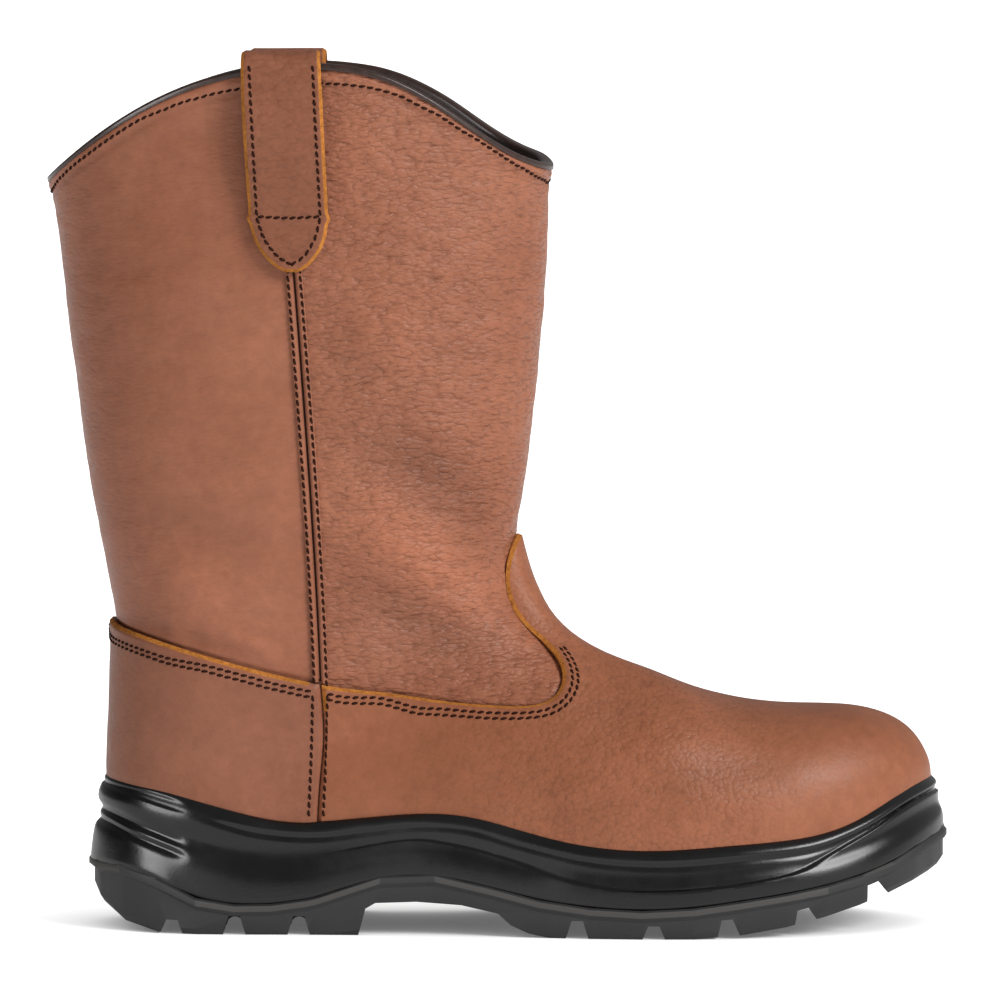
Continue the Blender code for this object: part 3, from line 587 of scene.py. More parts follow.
# The row of stitches round the collar lies at one distance under the top of the binding
collarShape = {
    "rowBelowTop": 7.7,  # mm
    "puff": 0.45, "puffAt": 2.6, "puffWidth": 1.3,  # the band over the row is padded
    "dip": 0.5, "dipWidth": 0.9,  # and the row pulls it in
    "bandReach": 9,
}
fromCollar = meshPoints(binding) - collarMiddle
bearing = np.arctan2(fromCollar[:, 1], fromCollar[:, 0])
collarTop = []
for middle in np.linspace(-math.pi, math.pi, 181)[:-1]:
    near = fromCollar[np.abs((bearing - middle + math.pi) % (2 * math.pi) - math.pi) < 0.035]
    reach = np.hypot(near[:, 0], near[:, 1]).max()
    collarTop.append((reach * math.cos(middle), reach * math.sin(middle), near[:, 2].max()))
collarTop = np.array(collarTop) + collarMiddle
for _ in range(10):  # evens out small steps
    collarTop = (np.roll(collarTop, 1, 0) + 2 * collarTop + np.roll(collarTop, -1, 0)) / 4
collarAhead = unit(np.roll(collarTop, -1, 0) - np.roll(collarTop, 1, 0))
collarDown = np.cross(collarAhead, outwardFrom(collarMiddle, collarTop))
collarDown = unit(collarDown * -np.sign(collarDown[:, 2:]))
collarRow = collarTop + collarDown * collarShape["rowBelowTop"]
collarRow = np.vstack([collarRow, collarRow[:1]])

# Shaft and foot wall: one hide with soft folds above the ankle, smooth behind the side seam
shaftShape = {
    "extraRows": 2,  # between the coarse ones, for the folds
    "rowsAbove": 104, "skinAbove": 78,  # mm over the floor
    "waviness": 0.28,  # mm
    "ripples": [((26, 26, 11), 3.7, 1.0), ((11, 11, 5), 9.1, 0.6)],
    "underPanels": 0.55,  # mm that the wall is drawn in under vamp and counter
    "smoothBack": 0.2,  # share of the grain on the hide behind the seam
    "folds": [  # width and depth, mm, then the path
        (8.0, 1.4, [(92, 45, 179), (104, 44, 174), (119, 42, 168), (135, 36, 156), (146, 26, 142)]),
        (8.5, -1.6, [(90, 45, 160), (103, 44, 151), (116, 42, 139), (133, 36, 126), (152, 24, 112)]),
        (7.0, 1.4, [(91, 43, 131), (101, 42, 123), (112, 41, 115), (129, 38, 106), (148, 33, 101)]),
        (6.0, 0.7, [(20, 34, 152), (34, 40, 147), (52, 44, 142), (68, 45, 137)]),
        (8.0, -0.9, [(26, 36, 126), (40, 41, 122), (54, 43, 119)]),
        (2.6, 0.9, [(16, 26, 112), (24, 30, 110), (44, 38, 104), (63, 41, 97.5)]),
        (3.0, -0.7, [(52, 40, 106.5), (62, 41, 102.5), (74, 42, 97)]),
        (1.7, 0.45, [(52, 41, 110), (62, 42, 107), (72, 42, 103.5)]),
        (1.8, 0.35, [(20, 38, 196), (34, 41, 208), (44, 43, 214)]),
        (7.0, -0.6, [(96, 47, 300), (98, 47, 275), (101, 47, 255)]),
        (7.0, -0.6, [(104, 47, 232), (112, 45, 215), (121, 44, 204)]),
        (7.0, 0.6, [(86, 46, 218), (96, 46, 206), (105, 45, 198)]),
    ],
}
upper = startFromNode("upper", "bootUpper", shaftLeather, liningCloth)
creaseSharp(upper, 50, 1.0)
holdSize(upper)
subdivideSmooth(upper, 1)


def cutShaftRows(piece, shape):  # ring cuts between the lap line and the collar, inside and out
    points = meshPoints(piece)
    pickNothing(piece)
    for edge in piece.data.edges:
        a, b = points[edge.vertices[0]], points[edge.vertices[1]]
        atBack = max(abs(a[1]), abs(b[1])) < 0.8 and max(a[0], b[0]) < 30
        edge.select = bool(atBack and min(a[2], b[2]) > shape["rowsAbove"] and abs(a[2] - b[2]) > 3)
    enterEdit("EDGE")
    bpy.ops.mesh.loop_multi_select(ring=True)
    bpy.ops.mesh.subdivide(number_cuts=shape["extraRows"])
    leaveEdit()


cutShaftRows(upper, shaftShape)
subdivideSmooth(upper, 1)
upperPoints, upperNormals = meshPoints(upper), meshNormals(upper)
outerSkin = (upperNormals * outwardFrom(legMiddle, upperPoints)).sum(1) > 0.15
outerSkin &= upperPoints[:, 2] > shaftShape["skinAbove"]
wave = np.where(outerSkin, ripples(upperPoints, shaftShape["ripples"]) * shaftShape["waviness"], 0)
nearRow, fromRow = nearestOnPath(upperPoints, collarRow)
aboveRow = np.vstack([-collarDown, -collarDown[:1]])[nearRow]
overRow = ((upperPoints - collarRow[nearRow]) * aboveRow).sum(1)
bandPuff = collarShape["puff"] * bell(overRow - collarShape["puffAt"], collarShape["puffWidth"])
bandPuff -= collarShape["dip"] * bell(overRow, collarShape["dipWidth"])
wave += np.where(outerSkin & (fromRow < collarShape["bandReach"]), bandPuff, 0)
for nodeName in ("vamp", "counter"):  # what the panels cover is drawn in, clear of them
    panelSide = surfaceOf(frame["nodes"][nodeName])
    touching = np.array([panelSide.find_nearest(Vector(p))[3] for p in upperPoints]) < 1.0
    wave = np.where(touching, -shaftShape["underPanels"], wave)
setPoints(upper, upperPoints + upperNormals * wave[:, None])
folded = pressLines(upper, shaftShape["folds"], outerSkin)
# these values give painted shade in the fold hollows and a painted highlight on the swells and the padded
# collar band
storeOnPoints(upper, "paintedReliefShade", folded - wave)
frontPanel = smoothStep(-1.5, 1.5, upperPoints[:, 0] - seamAt(upperPoints[:, 2]))
storeOnPoints(upper, "grain", shaftShape["smoothBack"] + (1 - shaftShape["smoothBack"]) * frontPanel)
faceOut = (faceNormals(upper) * outwardFrom(legMiddle, faceCentres(upper))).sum(1)
paintFaces(upper, faceOut <= -0.1)
finishPiece(upper, 60)
upperSkin = surfaceOf(upper)

# Vamp and counter: second layer of hide with a skived, undyed edge along the lap
panelShape = {
    "skive": 1.1,  # width of the bared edge, mm
    "skiveDrop": 1.1,  # how far it slopes down, mm
    "seamX": 83.3, "seamHalf": 1.2,  # where vamp and counter meet
    "bareReach": 7.0,  # mm from the lap line
    "waviness": 0.14,
    "flex": (110, 170, 225, 262),  # x where the grain comes in and goes out again
    "grain": (0.28, 0.6),  # over heel and toe cap, and what the flexing middle adds
}


def cladPanel(nodeName, pieceName, leather, shape, bareEdge):
    piece = startFromNode(nodeName, pieceName, leather, cutEdge)
    creaseSharp(piece, 60, 0.9)
    holdSize(piece)
    outerFaces = facesAway(piece, upperSkin) > 0.5
    pickNothing(piece)
    for face, isOuter in zip(piece.data.polygons, outerFaces):
        face.select = bool(isOuter)
    enterEdit("FACE")
    bpy.ops.mesh.inset(thickness=shape["skive"] * 0.001, use_even_offset=True)
    leaveEdit()
    inside = np.zeros(len(piece.data.vertices), bool)
    for face in piece.data.polygons:
        if face.select:
            inside[list(face.vertices)] = True
    rim = np.zeros(len(inside), bool)
    outward = np.zeros((len(inside), 3))
    for face in piece.data.polygons:
        corners = np.array(face.vertices)
        if not face.select and inside[corners].sum() >= 2:  # the ring of narrow faces from the inset
            rim[corners[~inside[corners]]] = True
            outward[corners] += face.normal
            face.material_index = 1 if bareEdge(fromScene(face.center)) else 0
    for face in piece.data.polygons:
        corners = np.array(face.vertices)
        if rim[corners].sum() >= 2 and not inside[corners].any() and bareEdge(fromScene(face.center)):
            face.material_index = 1
    points = meshPoints(piece)
    points[rim] -= unit(outward[rim]) * shape["skiveDrop"]
    setPoints(piece, points)
    creaseAmong(piece, rim, 0.5)
    ring = np.zeros(len(inside), bool)
    for face in piece.data.polygons:
        corners = np.array(face.vertices)
        if rim[corners].any():
            ring[corners[inside[corners]]] = True
    creaseAmong(piece, ring, 0.6)
    subdivideSmooth(piece, 3)
    return piece


def snapOutside(tree, path):  # as snapTo, but never on the inner wall
    acrossWall = 4.5  # mm, to clear of the outer one
    hits, normals = snapTo(tree, path)
    inner = (normals * (path - footMiddle)).sum(1) < 0
    return snapTo(tree, np.where(inner[:, None], hits - normals * acrossWall, path))


lapPaths = {}
for side in (-1, 1):
    onShaft = snapOutside(upperSkin, smoothRun([(x, side * y, z) for x, y, z in lapLine], 1.0))[0]
    lapPaths[side] = calmed(onShaft, 14)
bothLaps = np.vstack([lapPaths[-1], lapPaths[1]])


def barePanelEdge(centre):  # the lap shows its cut edge; the seam ends are turned under
    fromLap = np.linalg.norm(bothLaps - centre, axis=1).min()
    return fromLap < panelShape["bareReach"] and abs(centre[0] - panelShape["seamX"]) > panelShape["seamHalf"]


vampFolds = [  # width and depth, mm, then the path
    (5.5, 0.7, [(198, 50, 50), (205, 50, 53.5), (219, 49, 58), (236, 46, 61), (254, 41, 63.5)]),
    (4.5, 0.5, [(181, 38, 83), (190, 38, 79.5), (200, 38, 77), (216, 36, 75)]),
    (6.0, -0.45, [(190, 46, 66), (206, 46, 67), (222, 44, 68)]),
    (5.0, 0.45, [(231, 0, 79), (233, 14, 78), (236, 26, 73)]),
]
vamp = cladPanel("vamp", "vampPanel", vampLeather, panelShape, barePanelEdge)
counter = cladPanel("counter", "counterPanel", counterLeather, panelShape, barePanelEdge)
for panel, folds, seed in ((vamp, vampFolds, 1.3), (counter, [], 5.9)):
    points, normals = meshPoints(panel), meshNormals(panel)
    under, _ = snapTo(upperSkin, points)
    outerSide = np.linalg.norm(points - under, axis=1) > 1.5
    wave = ripples(points, [((22, 22, 14), seed, 1.0), ((8, 8, 6), seed + 4, 0.5)])
    wave = np.where(outerSide, wave * panelShape["waviness"], 0)
    setPoints(panel, points + normals * wave[:, None])
    folded = pressLines(panel, folds, outerSide)
    # painted shade in the hollows and a painted highlight on the swells
    storeOnPoints(panel, "paintedReliefShade", folded - wave)
    flexFrom, flexFull, flexLess, flexTo = panelShape["flex"]
    flex = smoothStep(flexFrom, flexFull, points[:, 0]) * smoothStep(flexTo, flexLess, points[:, 0])
    storeOnPoints(panel, "grain", panelShape["grain"][0] + panelShape["grain"][1] * flex)
    finishPiece(panel, 50)

# Side seams: two turned edges that meet in a groove darkened with painted shade
seamShape = {
    "grooveHalf": 0.5, "groove": 0.9, "shadeHalf": 0.45,  # mm
    "roll": 0.25, "rollAt": 1.3, "rollHalf": 1.5, "sink": 0.35,  # each turned edge is a low roll
    "topAbove": 0.75,  # over the shaft
    "paintedReliefShade": 1.6, "troughHalf": 0.6, "grain": 0.3,
}
seams = {}
for side, end in ((-1, "Outer"), (1, "Inner")):
    seam = startFromNode("side_seam_" + end.lower(), "sideSeam" + end, shaftLeather, paintedGrooveAndHoleShade)
    creaseSharp(seam, 50, 1.0)
    subdivideSmooth(seam, 3)
    points, normals = meshPoints(seam), meshNormals(seam)
    across = points[:, 0] - seamAt(points[:, 2])
    under, _ = snapTo(upperSkin, points)
    onTop = np.linalg.norm(points - under, axis=1) > seamShape["topAbove"]
    roll = np.clip(1 - ((np.abs(across) - seamShape["rollAt"]) / seamShape["rollHalf"]) ** 2, -0.2, 1)
    lift = seamShape["roll"] * roll - seamShape["sink"]
    lift -= seamShape["groove"] * bell(across, seamShape["grooveHalf"])
    setPoints(seam, points + normals * np.where(onTop, lift, 0)[:, None])
    # painted shade along the groove
    paintedReliefShade = seamShape["paintedReliefShade"] * bell(across, seamShape["troughHalf"])
    storeOnPoints(seam, "paintedReliefShade", np.where(onTop, paintedReliefShade, 0))
    storeOnPoints(seam, "grain", np.full(len(points), seamShape["grain"]))
    centres = faceCentres(seam)
    # the groove's faces get the near-black material: painted shade
    paintFaces(seam, np.abs(centres[:, 0] - seamAt(centres[:, 2])) < seamShape["shadeHalf"])
    finishPiece(seam, 60)
    seams[side] = seam

# Pull straps: bare cut edges, slight ripples all over and small ears where the row across ends
strapShape = {
    "skive": 1.2, "skiveDrop": 0.8, "waviness": 0.12,  # mm
    "ripples": [((14, 14, 5), 2.2, 1.0), ((20, 20, 2.6), 7.7, 0.6)],
    "middle": 73.4, "earHeight": 254.3, "earTall": 1.5, "ear": 0.9,  # small ears where the row across ends
}
straps = {}
for side, end in ((-1, "Outer"), (1, "Inner")):
    strap = cladPanel(
        "pull_strap_" + end.lower(), "pullStrap" + end, strapLeather, strapShape, lambda centre: True,
    )
    points, normals = meshPoints(strap), meshNormals(strap)
    wave = ripples(points, strapShape["ripples"])
    points += normals * (wave * strapShape["waviness"])[:, None]
    fromMiddle = points[:, 0] - strapShape["middle"]
    ear = np.exp(-(((points[:, 2] - strapShape["earHeight"]) / strapShape["earTall"]) ** 2))
    ear *= smoothStep(8, 13, np.abs(fromMiddle))
    points[:, 0] += strapShape["ear"] * ear * np.sign(fromMiddle)
    setPoints(strap, points)
    # painted shade in the ripple hollows and a painted highlight on their tops
    storeOnPoints(strap, "paintedReliefShade", -wave * 0.4)
    storeOnPoints(strap, "grain", np.ones(len(points)))
    finishPiece(strap, 50)
    straps[side] = strap

# Height of the line where midsole and tread meet, along the boot
partingLine = [
    (0, 24), (22, 22.5), (41, 12.6), (62, 10.6), (83, 13.4), (100, 19.6), (119, 22.2), (136, 20), (154, 15),
    (180, 10.9), (204, 10), (236, 13.8), (262, 18.2), (281, 24), (294, 31), (308, 37.5),
]

# Midsole: rim bead, heel ribs and the long crease over the forefoot bulge
midsoleShape = {
    "rim": [
        (0, 54.5), (22, 51.5), (41, 46.4), (62, 41), (83, 39.6), (100, 41.5), (119, 43.5), (136, 42.5),
        (154, 37.5), (180, 32), (204, 30.6), (236, 32.7), (262, 35.6), (281, 43), (294, 49.5), (308, 54.5),
    ],
    "crease": [
        (84, 28), (98, 31.1), (120, 34), (134, 31.9), (153, 26.9), (167, 21.9), (188, 17.7), (216, 17.7),
        (240, 20.5), (256, 24.2), (265, 29), (281, 37.2), (296, 45.5), (308, 48),
    ],
    "ribLines": [  # grooves between the heel ribs: table of x and height, depth, width
        {"line": [(0, 43.4), (6, 42.4), (15.2, 39.3), (27.6, 35), (33.9, 32.7), (44, 29.5)],
         "depth": 1.3, "width": 1.3},
        {"line": [(0, 39.2), (6, 38.2), (17.5, 34.3), (33.9, 28.7), (44, 25.5)], "depth": 1.2, "width": 1.15},
    ],
    "ribFace": [(0, 52), (15.6, 48.5), (35.7, 43), (44, 41)],  # top of the upper rib
    "bead": {"below": 2.4, "height": 0.25, "width": 1.1},  # its middle below the rim
    "beadGroove": {"below": 4.9, "depth": 0.55, "width": 0.8},
    "plainHeel": (36, 62),  # x where the band above the heel ribs ends and bead and groove are full
    "ribsEnd": (38, 29),  # x where the ribs start and where they are full
    "creaseCut": {"depth": 0.85, "fade": 2.4}, "creaseBulge": {"height": 0.4, "fade": 2.2},
    "creaseGrows": [(82, 104, 0.55), (160, 192, 0.45)],  # from x, to x, share
    "ribLeans": (0.5, 0.9), "lowRibOverhang": 6, "shelf": 0.9,
}


def carveMidsole(piece, shape):
    points, normals = meshPoints(piece), meshNormals(piece)
    under, _ = snapTo(upperSkin, points)
    level = unit(normals * (1, 1, 0))
    side = ((points - under) * normals).sum(1) > 2.0
    side &= np.abs(normals[:, 2]) < 0.85
    x, z = points[:, 0], points[:, 2]
    below = readTable(shape["rim"], x)[0] - z
    bead, groove = shape["bead"], shape["beadGroove"]
    out = -groove["depth"] * bell(below - groove["below"], groove["width"])
    out += bead["height"] * bell(below - bead["below"], bead["width"])
    out *= smoothStep(*shape["plainHeel"], x)
    over = z - readTable(shape["crease"], x)[0]
    strength = sum(share * smoothStep(start, full, x) for start, full, share in shape["creaseGrows"])
    above = -shape["creaseCut"]["depth"] * np.exp(-np.clip(over, 0, None) / shape["creaseCut"]["fade"])
    bulge = shape["creaseBulge"]["height"] * np.exp(np.clip(over, None, 0) / shape["creaseBulge"]["fade"])
    step = smoothStep(-0.35, 0.35, over)
    out += strength * (step * above + (1 - step) * bulge)
    heel = smoothStep(*shape["ribsEnd"], x)
    ribHeights = [readTable(rib["line"], x)[0] for rib in shape["ribLines"]]
    for rib, height in zip(shape["ribLines"], ribHeights):
        out -= heel * rib["depth"] * bell(z - height, rib["width"])
    faceTop, parting = readTable(shape["ribFace"], x)[0], readTable(partingLine, x)[0]
    ribFaces = ((faceTop, ribHeights[0], 0), (ribHeights[1], parting, shape["lowRibOverhang"]))
    for (top, foot, overhang), lean in zip(ribFaces, shape["ribLeans"]):  # both faces lean back
        up = np.clip((z - foot) / np.maximum(top - foot, 1), 0, 1)
        within = smoothStep(-1.4, 1.4, z - foot + overhang) * smoothStep(1.2, -1.2, z - top)
        out += heel * lean * (1 - 2 * up) * within
    out -= heel * shape["shelf"] * smoothStep(-0.6, 0.6, z - faceTop) * smoothStep(0.5, 2.5, below)
    setPoints(piece, points + level * np.where(side, out, 0)[:, None])


midsole = startFromNode("midsole", "midsoleCup", midsoleRubber)
creaseSharp(midsole, 60, 0.8)
subdivideSmooth(midsole, 3)
carveMidsole(midsole, midsoleShape)
finishPiece(midsole, 45)

# Outsole: lugs with softened edges, a paler lip under the parting line as a painted highlight, bridges inside
# the deeper grooves
outsoleShape = {
    "soften": 0.6, "softenOver": 38,  # mm, and degrees between faces
    "raise": 0.6, "raiseWithin": (3.9, 3.2),  # mm, and how far below the parting line it fades in
    # the band of painted highlight on the lip
    "lip": (-0.2, 2.0),  # from and to, below the parting line
    "bridges": (53.4, 76.3, 175, 228.5),  # x of the grooves that have one
    "bridgeBox": (7.4, 62, 5.4), "bridgeFoot": 2.7, "archHalf": 2.9,
}
outsole = startFromNode("outsole", "treadOutsole", treadRubber, paintedHighlightLipRubber)
points = meshPoints(outsole)
underLine = readTable(partingLine, points[:, 0])[0] - points[:, 2]
lipRise = outsoleShape["raise"] * smoothStep(*outsoleShape["raiseWithin"], underLine)
points[:, 2] += lipRise  # closes the lip up against the midsole
setPoints(outsole, points)
pickOnly(outsole)
softened = outsole.modifiers.new("softened", "BEVEL")
softened.width = outsoleShape["soften"] * 0.001
softened.segments = 2
softened.limit_method = "ANGLE"
softened.angle_limit = math.radians(outsoleShape["softenOver"])
bpy.ops.object.modifier_apply(modifier=softened.name)
centres, facing = faceCentres(outsole), faceNormals(outsole)
underLine = readTable(partingLine, centres[:, 0])[0] - centres[:, 2]
# faces on the lip band get the paler rubber: a painted highlight
highlightBandFrom, highlightBandTo = outsoleShape["lip"]
paintFaces(outsole, (underLine > highlightBandFrom) & (underLine < highlightBandTo) & (np.abs(facing[:, 2]) < 0.75))
finishPiece(outsole, 35)

bridges = []
(long, wide, tall), foot = outsoleShape["bridgeBox"], outsoleShape["bridgeFoot"]
for x in outsoleShape["bridges"]:
    bpy.ops.mesh.primitive_cylinder_add(
        vertices=24, radius=outsoleShape["archHalf"] * 0.001, depth=0.09,
        location=toScene((x, 0, foot)), rotation=(math.pi / 2, 0, 0),
    )
    archCutter = bpy.context.object
    bpy.ops.mesh.primitive_cube_add(size=0.001, location=toScene((x, 0, foot + tall / 2)))
    bridge = bpy.context.object
    bpy.ops.object.mode_set(mode="EDIT")
    bpy.ops.transform.resize(value=(long, wide, tall))
    bpy.ops.object.mode_set(mode="OBJECT")
    arched = bridge.modifiers.new("arched", "BOOLEAN")
    arched.object = archCutter
    bpy.ops.object.modifier_apply(modifier=arched.name)
    bpy.data.objects.remove(archCutter)
    bridges.append(bridge)
grooveBridges = bridges[0]
pickOnly(grooveBridges)
for bridge in bridges:
    bridge.select_set(True)
bpy.ops.object.join()
bpy.ops.object.transform_apply(location=True, rotation=True, scale=True)
grooveBridges.name = "grooveBridges"
grooveBridges.data.name = "grooveBridges"
grooveBridges.data.materials.append(treadRubber)
finishPiece(grooveBridges, 35)

# Footbed
footbed = startFromNode("insole", "footbed", footbedCloth)
creaseSharp(footbed, 60, 0.6)
subdivideSmooth(footbed, 2)
finishPiece(footbed, 50)

# Stitching: one stitch and one needle hole, a dark bead of painted shade, are shaped, then repeated along
# each row
stitchShape = {
    "pitch": 2.95, "half": 0.72, "width": 0.56, "height": 0.42, "lift": 0.1, "slant": 12,  # mm, degrees
    "hole": 0.46, "holeHeight": 0.14, "holeLift": 0.04,
}


def shapedBead(segments, rings, halfSizes):
    bpy.ops.mesh.primitive_uv_sphere_add(segments=segments, ring_count=rings, radius=1.0)
    bead = bpy.context.object
    bpy.ops.object.mode_set(mode="EDIT")
    bpy.ops.mesh.select_all(action="SELECT")
    bpy.ops.transform.rotate(value=math.pi / 2, orient_axis="Y", center_override=(0, 0, 0))
    bpy.ops.transform.resize(value=halfSizes)
    bpy.ops.object.mode_set(mode="OBJECT")
    corners = np.array([v.co[:] for v in bead.data.vertices])
    rounds = [list(f.vertices) for f in bead.data.polygons]
    faces = np.array([each + each[-1:] * (4 - len(each)) for each in rounds])
    bpy.data.objects.remove(bead)
    return corners, faces


threadBead = shapedBead(8, 6, [stitchShape[each] for each in ("half", "width", "height")])
holeShadeBead = shapedBead(7, 4, [stitchShape[each] for each in ("hole", "hole", "holeHeight")])


def besideRun(tree, path, away, lift):  # the path moved sideways over the leather, and lifted off it
    points = evenRun(path, 1.2)
    normals = unit(calmed(snapOutside(tree, points)[1], 30))
    sideways = unit(calmed(unit(np.cross(normals, np.gradient(points, axis=0))), 12))
    return points + sideways * away + normals * lift


def laidAcross(tree, path, side):  # a run set by x and z, laid on the leather straight across the boot
    found = [tree.ray_cast(Vector((x, side * 100, z)), Vector((0, -side, 0)))[0] for x, _, z in path]
    return np.array([spot for spot in found if spot is not None])


def sewRows(pieceName, rows):  # rows are pairs of a leather surface and a path on it
    corners, faces, kinds = [], [], []
    count = 0
    slant = math.radians(stitchShape["slant"])
    for tree, path in rows:
        points, normals = snapTo(tree, evenRun(path, stitchShape["pitch"]))
        ahead = unit(np.gradient(points, axis=0))
        normals = unit(normals - ahead * (normals * ahead).sum(1, keepdims=True))
        across = np.cross(normals, ahead)
        turned = ahead * math.cos(slant) + across * math.sin(slant)
        for place, run, side, up in zip(points, turned, np.cross(normals, turned), normals):
            axes = np.array([run, side, up])
            toEnd, holeUp = run * stitchShape["half"], up * stitchShape["holeLift"]
            for bead, kind, shift in (
                (threadBead, 0, up * stitchShape["lift"]),
                (holeShadeBead, 1, toEnd + holeUp), (holeShadeBead, 1, -toEnd + holeUp),
            ):
                corners.append(bead[0] @ axes + place + shift)
                faces.append(bead[1] + count)
                kinds += [kind] * len(bead[1])
                count += len(bead[0])
    mesh = bpy.data.meshes.new(pieceName)
    faces = [list(dict.fromkeys(f)) for f in np.concatenate(faces).tolist()]
    mesh.from_pydata(toScene(np.concatenate(corners)).tolist(), [], faces)
    mesh.materials.append(darkThread)
    mesh.materials.append(paintedGrooveAndHoleShade)
    mesh.polygons.foreach_set("material_index", kinds)
    piece = bpy.data.objects.new(pieceName, mesh)
    bpy.context.scene.collection.objects.link(piece)
    finishPiece(piece, 80)


stitchRows = {
    "lapAway": (2.9, 5.0), "seamAway": 2.2, "footSeamAway": 2.6,  # mm beside the edge or seam
    "vampFrom": 87.0, "vampBelow": 98, "counterTo": 80.5, "seamBelow": 250,  # x, z, x and z where rows end
    "vampLift": 5, "counterLift": 6.2,  # mm off the shaft, so that a row lands on the panel's outside
    "strapEdge": [(70.9, 11.15, 307), (72.1, 11.15, 282), (73.3, 11.15, 256.5)],  # x, mm to each side, z
    "strapTip": [(73.4, 10.85, 253.6), (73.7, 8.95, 247.5), (74.1, 5.0, 241.5), (74.3, 0.8, 238.6)],
    "strapAcross": [(63.65, 0, 255.0), (73.4, 0, 254.6), (83.15, 0, 255.0)],
}
shaftSeam = smoothRun([(x, 0, z) for x, z in seamLine if z < stitchRows["seamBelow"]], 1.0)
footSeam = smoothRun([(x, 0, z) for x, z in footSeamLine], 1.0)
vampSkin, counterSkin = surfaceOf(vamp), surfaceOf(counter)
vampRows, counterRows, seamRows, strapRows = [], [], [], []
for side in (-1, 1):
    lap = lapPaths[side]
    front = lap[(lap[:, 0] > stitchRows["vampFrom"]) & (lap[:, 2] < stitchRows["vampBelow"])]
    back = lap[lap[:, 0] < stitchRows["counterTo"]]
    for away in stitchRows["lapAway"]:
        vampRows.append((vampSkin, besideRun(upperSkin, front, -side * away, stitchRows["vampLift"])))
        counterRows.append((counterSkin, besideRun(upperSkin, back, -side * away, stitchRows["counterLift"])))
    seamSkin, strapSkin = surfaceOf(seams[side]), surfaceOf(straps[side])
    for hand, panelSkin in ((-1, counterSkin), (1, vampSkin)):
        beside = shaftSeam + (hand * stitchRows["seamAway"], 0, 0)
        seamRows.append((seamSkin, laidAcross(seamSkin, beside, side)))
        beside = footSeam + (hand * stitchRows["footSeamAway"], 0, 0)
        seamRows.append((panelSkin, laidAcross(panelSkin, beside, side)))
        for row in ("strapEdge", "strapTip"):
            path = smoothRun([(x + hand * away, 0, z) for x, away, z in stitchRows[row]], 1.0)
            strapRows.append((strapSkin, laidAcross(strapSkin, path, side)))
    path = smoothRun(stitchRows["strapAcross"], 1.0)
    strapRows.append((strapSkin, laidAcross(strapSkin, path, side)))
sewRows("collarStitches", [(upperSkin, collarRow)])
sewRows("strapStitches", strapRows)
sewRows("seamStitches", seamRows)
sewRows("vampStitches", vampRows)
sewRows("counterStitches", counterRows)

# Floor, light and camera
bpy.ops.mesh.primitive_plane_add(size=400, location=(0, 0, 0))
floor = bpy.context.object
floor.name = "studioFloor"
studio = {
    "sky": (0.06, 0.42),  # light from the left and from the right; the camera itself sees plain white
    "floorGlow": (0.5, 0.95),  # lifts the floor to white, for the boot and for the camera; fades where shaded
    "sun": {"turn": 50, "rise": 31, "spread": 24, "strength": 2.3},  # degrees to the right, up, and across
    "cards": [
        {"name": "heelCard", "size": (1.2, 1.0), "power": 36,
         "place": (-1.62, -1.62, 0.6), "aim": (-0.1, 0, 0.04)},
        {"name": "toeCard", "size": (0.7, 0.8), "power": 9,
         "place": (1.7, -1.5, 0.8), "aim": (0.1, 0, 0.05)},
    ],
}
floorPaint, floorTree, floorShader, _ = newMaterial(
    "paleStudioFloor", {"Roughness": 0.9, "Base Color": colour("#f2f2f2"), "Emission Color": (1, 1, 1, 1)},
)
# the floor is a painted light: it glows for the boot and the camera, and ambient occlusion dims the glow into
# a painted contact shadow under the boot
shade = addNode(floorTree, "ShaderNodeAmbientOcclusion", {"samples": 8}, {"Distance": 0.05})
openness = addRange(floorTree, shade.outputs["AO"], 0, 1, 0.12, 1)
bootGlow, cameraGlow = studio["floorGlow"]
fullGlow = addNode(
    floorTree, "ShaderNodeMix", {"data_type": "FLOAT"}, {2: bootGlow, 3: cameraGlow},
    {0: addNode(floorTree, "ShaderNodeLightPath").outputs["Is Camera Ray"]},
).outputs[0]
plugIn(floorTree, floorShader, {"Emission Strength": addMath(floorTree, "MULTIPLY", fullGlow, openness)})
floor.data.materials.append(floorPaint)

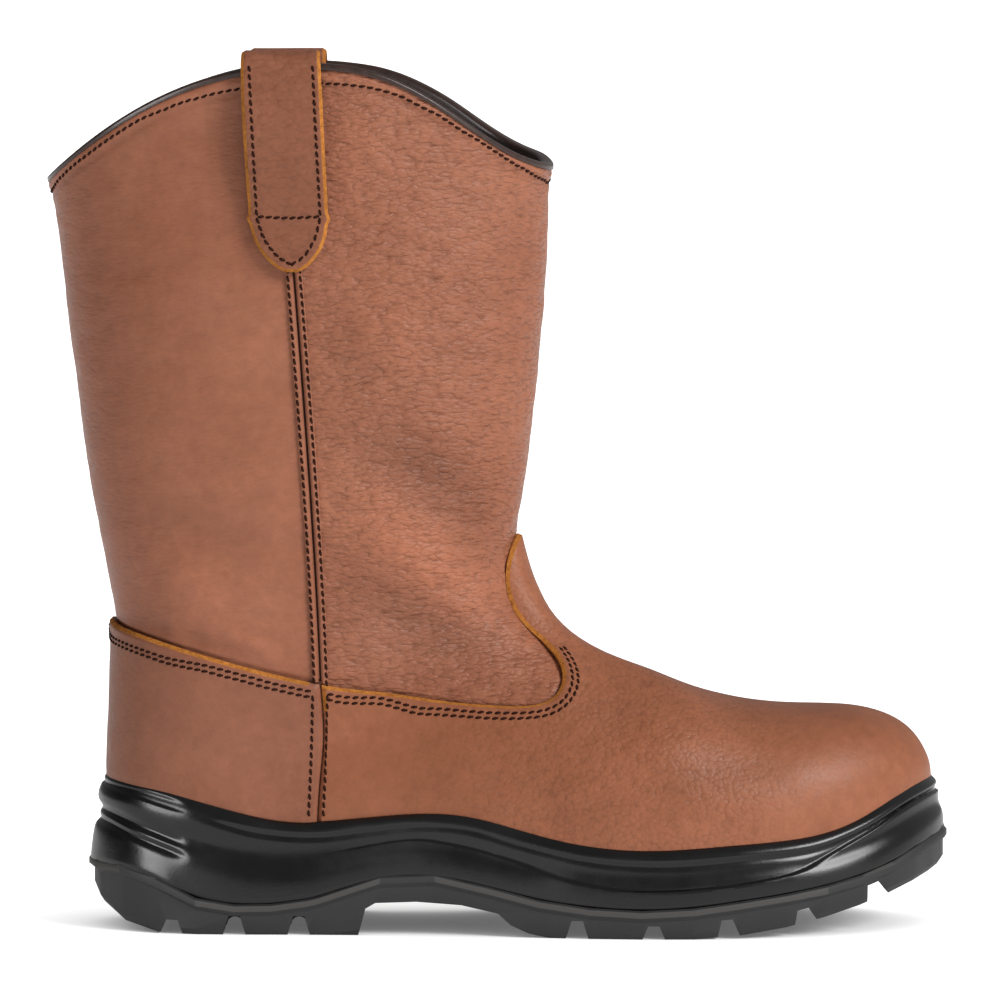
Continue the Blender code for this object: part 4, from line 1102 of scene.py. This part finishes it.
world = bpy.data.worlds.new("whiteStudio")
bpy.context.scene.world = world
world.use_nodes = True
sky = world.node_tree
heading = addNode(sky, "ShaderNodeTexCoord").outputs["Generated"]  # the way a ray leaves, for the world
headingParts = addNode(sky, "ShaderNodeSeparateXYZ", links={0: heading})
leftToRight = addRange(sky, headingParts.outputs["X"], -1, 1, *studio["sky"])
backdrop = addNode(
    sky, "ShaderNodeMix", {"data_type": "FLOAT"}, {3: 1.0},
    {0: addNode(sky, "ShaderNodeLightPath").outputs["Is Camera Ray"], 2: leftToRight},
).outputs[0]
sky.nodes["Background"].inputs["Color"].default_value = (1, 1, 1, 1)
plugIn(sky, sky.nodes["Background"], {"Strength": backdrop})


def placeAndAim(name, data, place, along):
    made = bpy.data.objects.new(name, data)
    bpy.context.scene.collection.objects.link(made)
    made.location = place
    made.rotation_euler = Vector(along).to_track_quat("-Z", "Y").to_euler()
    return made


softSun = bpy.data.lights.new("softSun", "SUN")
softSun.energy = studio["sun"]["strength"]
softSun.angle = math.radians(studio["sun"]["spread"])
turn, rise = math.radians(studio["sun"]["turn"]), math.radians(studio["sun"]["rise"])
shineAlong = (-math.sin(turn) * math.cos(rise), math.cos(turn) * math.cos(rise), -math.sin(rise))
placeAndAim("softSun", softSun, (1.2, -2.0, 1.0), shineAlong)

glossPieces = bpy.data.collections.new("glossPieces")
for piece in (midsole, outsole, binding):
    glossPieces.objects.link(piece)
for card in studio["cards"]:  # white boards, kept off the leather, seen as highlights on rubber and tape
    light = bpy.data.lights.new(card["name"], "AREA")
    light.shape = "RECTANGLE"
    light.size, light.size_y = card["size"]
    light.energy = card["power"]
    cardAlong = Vector(card["aim"]) - Vector(card["place"])
    cardObject = placeAndAim(card["name"], light, card["place"], cardAlong)
    cardObject.visible_diffuse = False
    cardObject.light_linking.receiver_collection = glossPieces

cameraSetting = {"place": (0.0083, -3.0, 0.34), "aim": (0.0015, 0.0, 0.1521), "lens": 302}
cameraData = bpy.data.cameras.new("photoCamera")
cameraData.lens = cameraSetting["lens"]
cameraData.sensor_width = 36
cameraData.clip_end = 500
lookAlong = Vector(cameraSetting["aim"]) - Vector(cameraSetting["place"])
bpy.context.scene.camera = placeAndAim("photoCamera", cameraData, cameraSetting["place"], lookAlong)
bpy.context.scene.view_settings.view_transform = "Standard"
print("stage set")
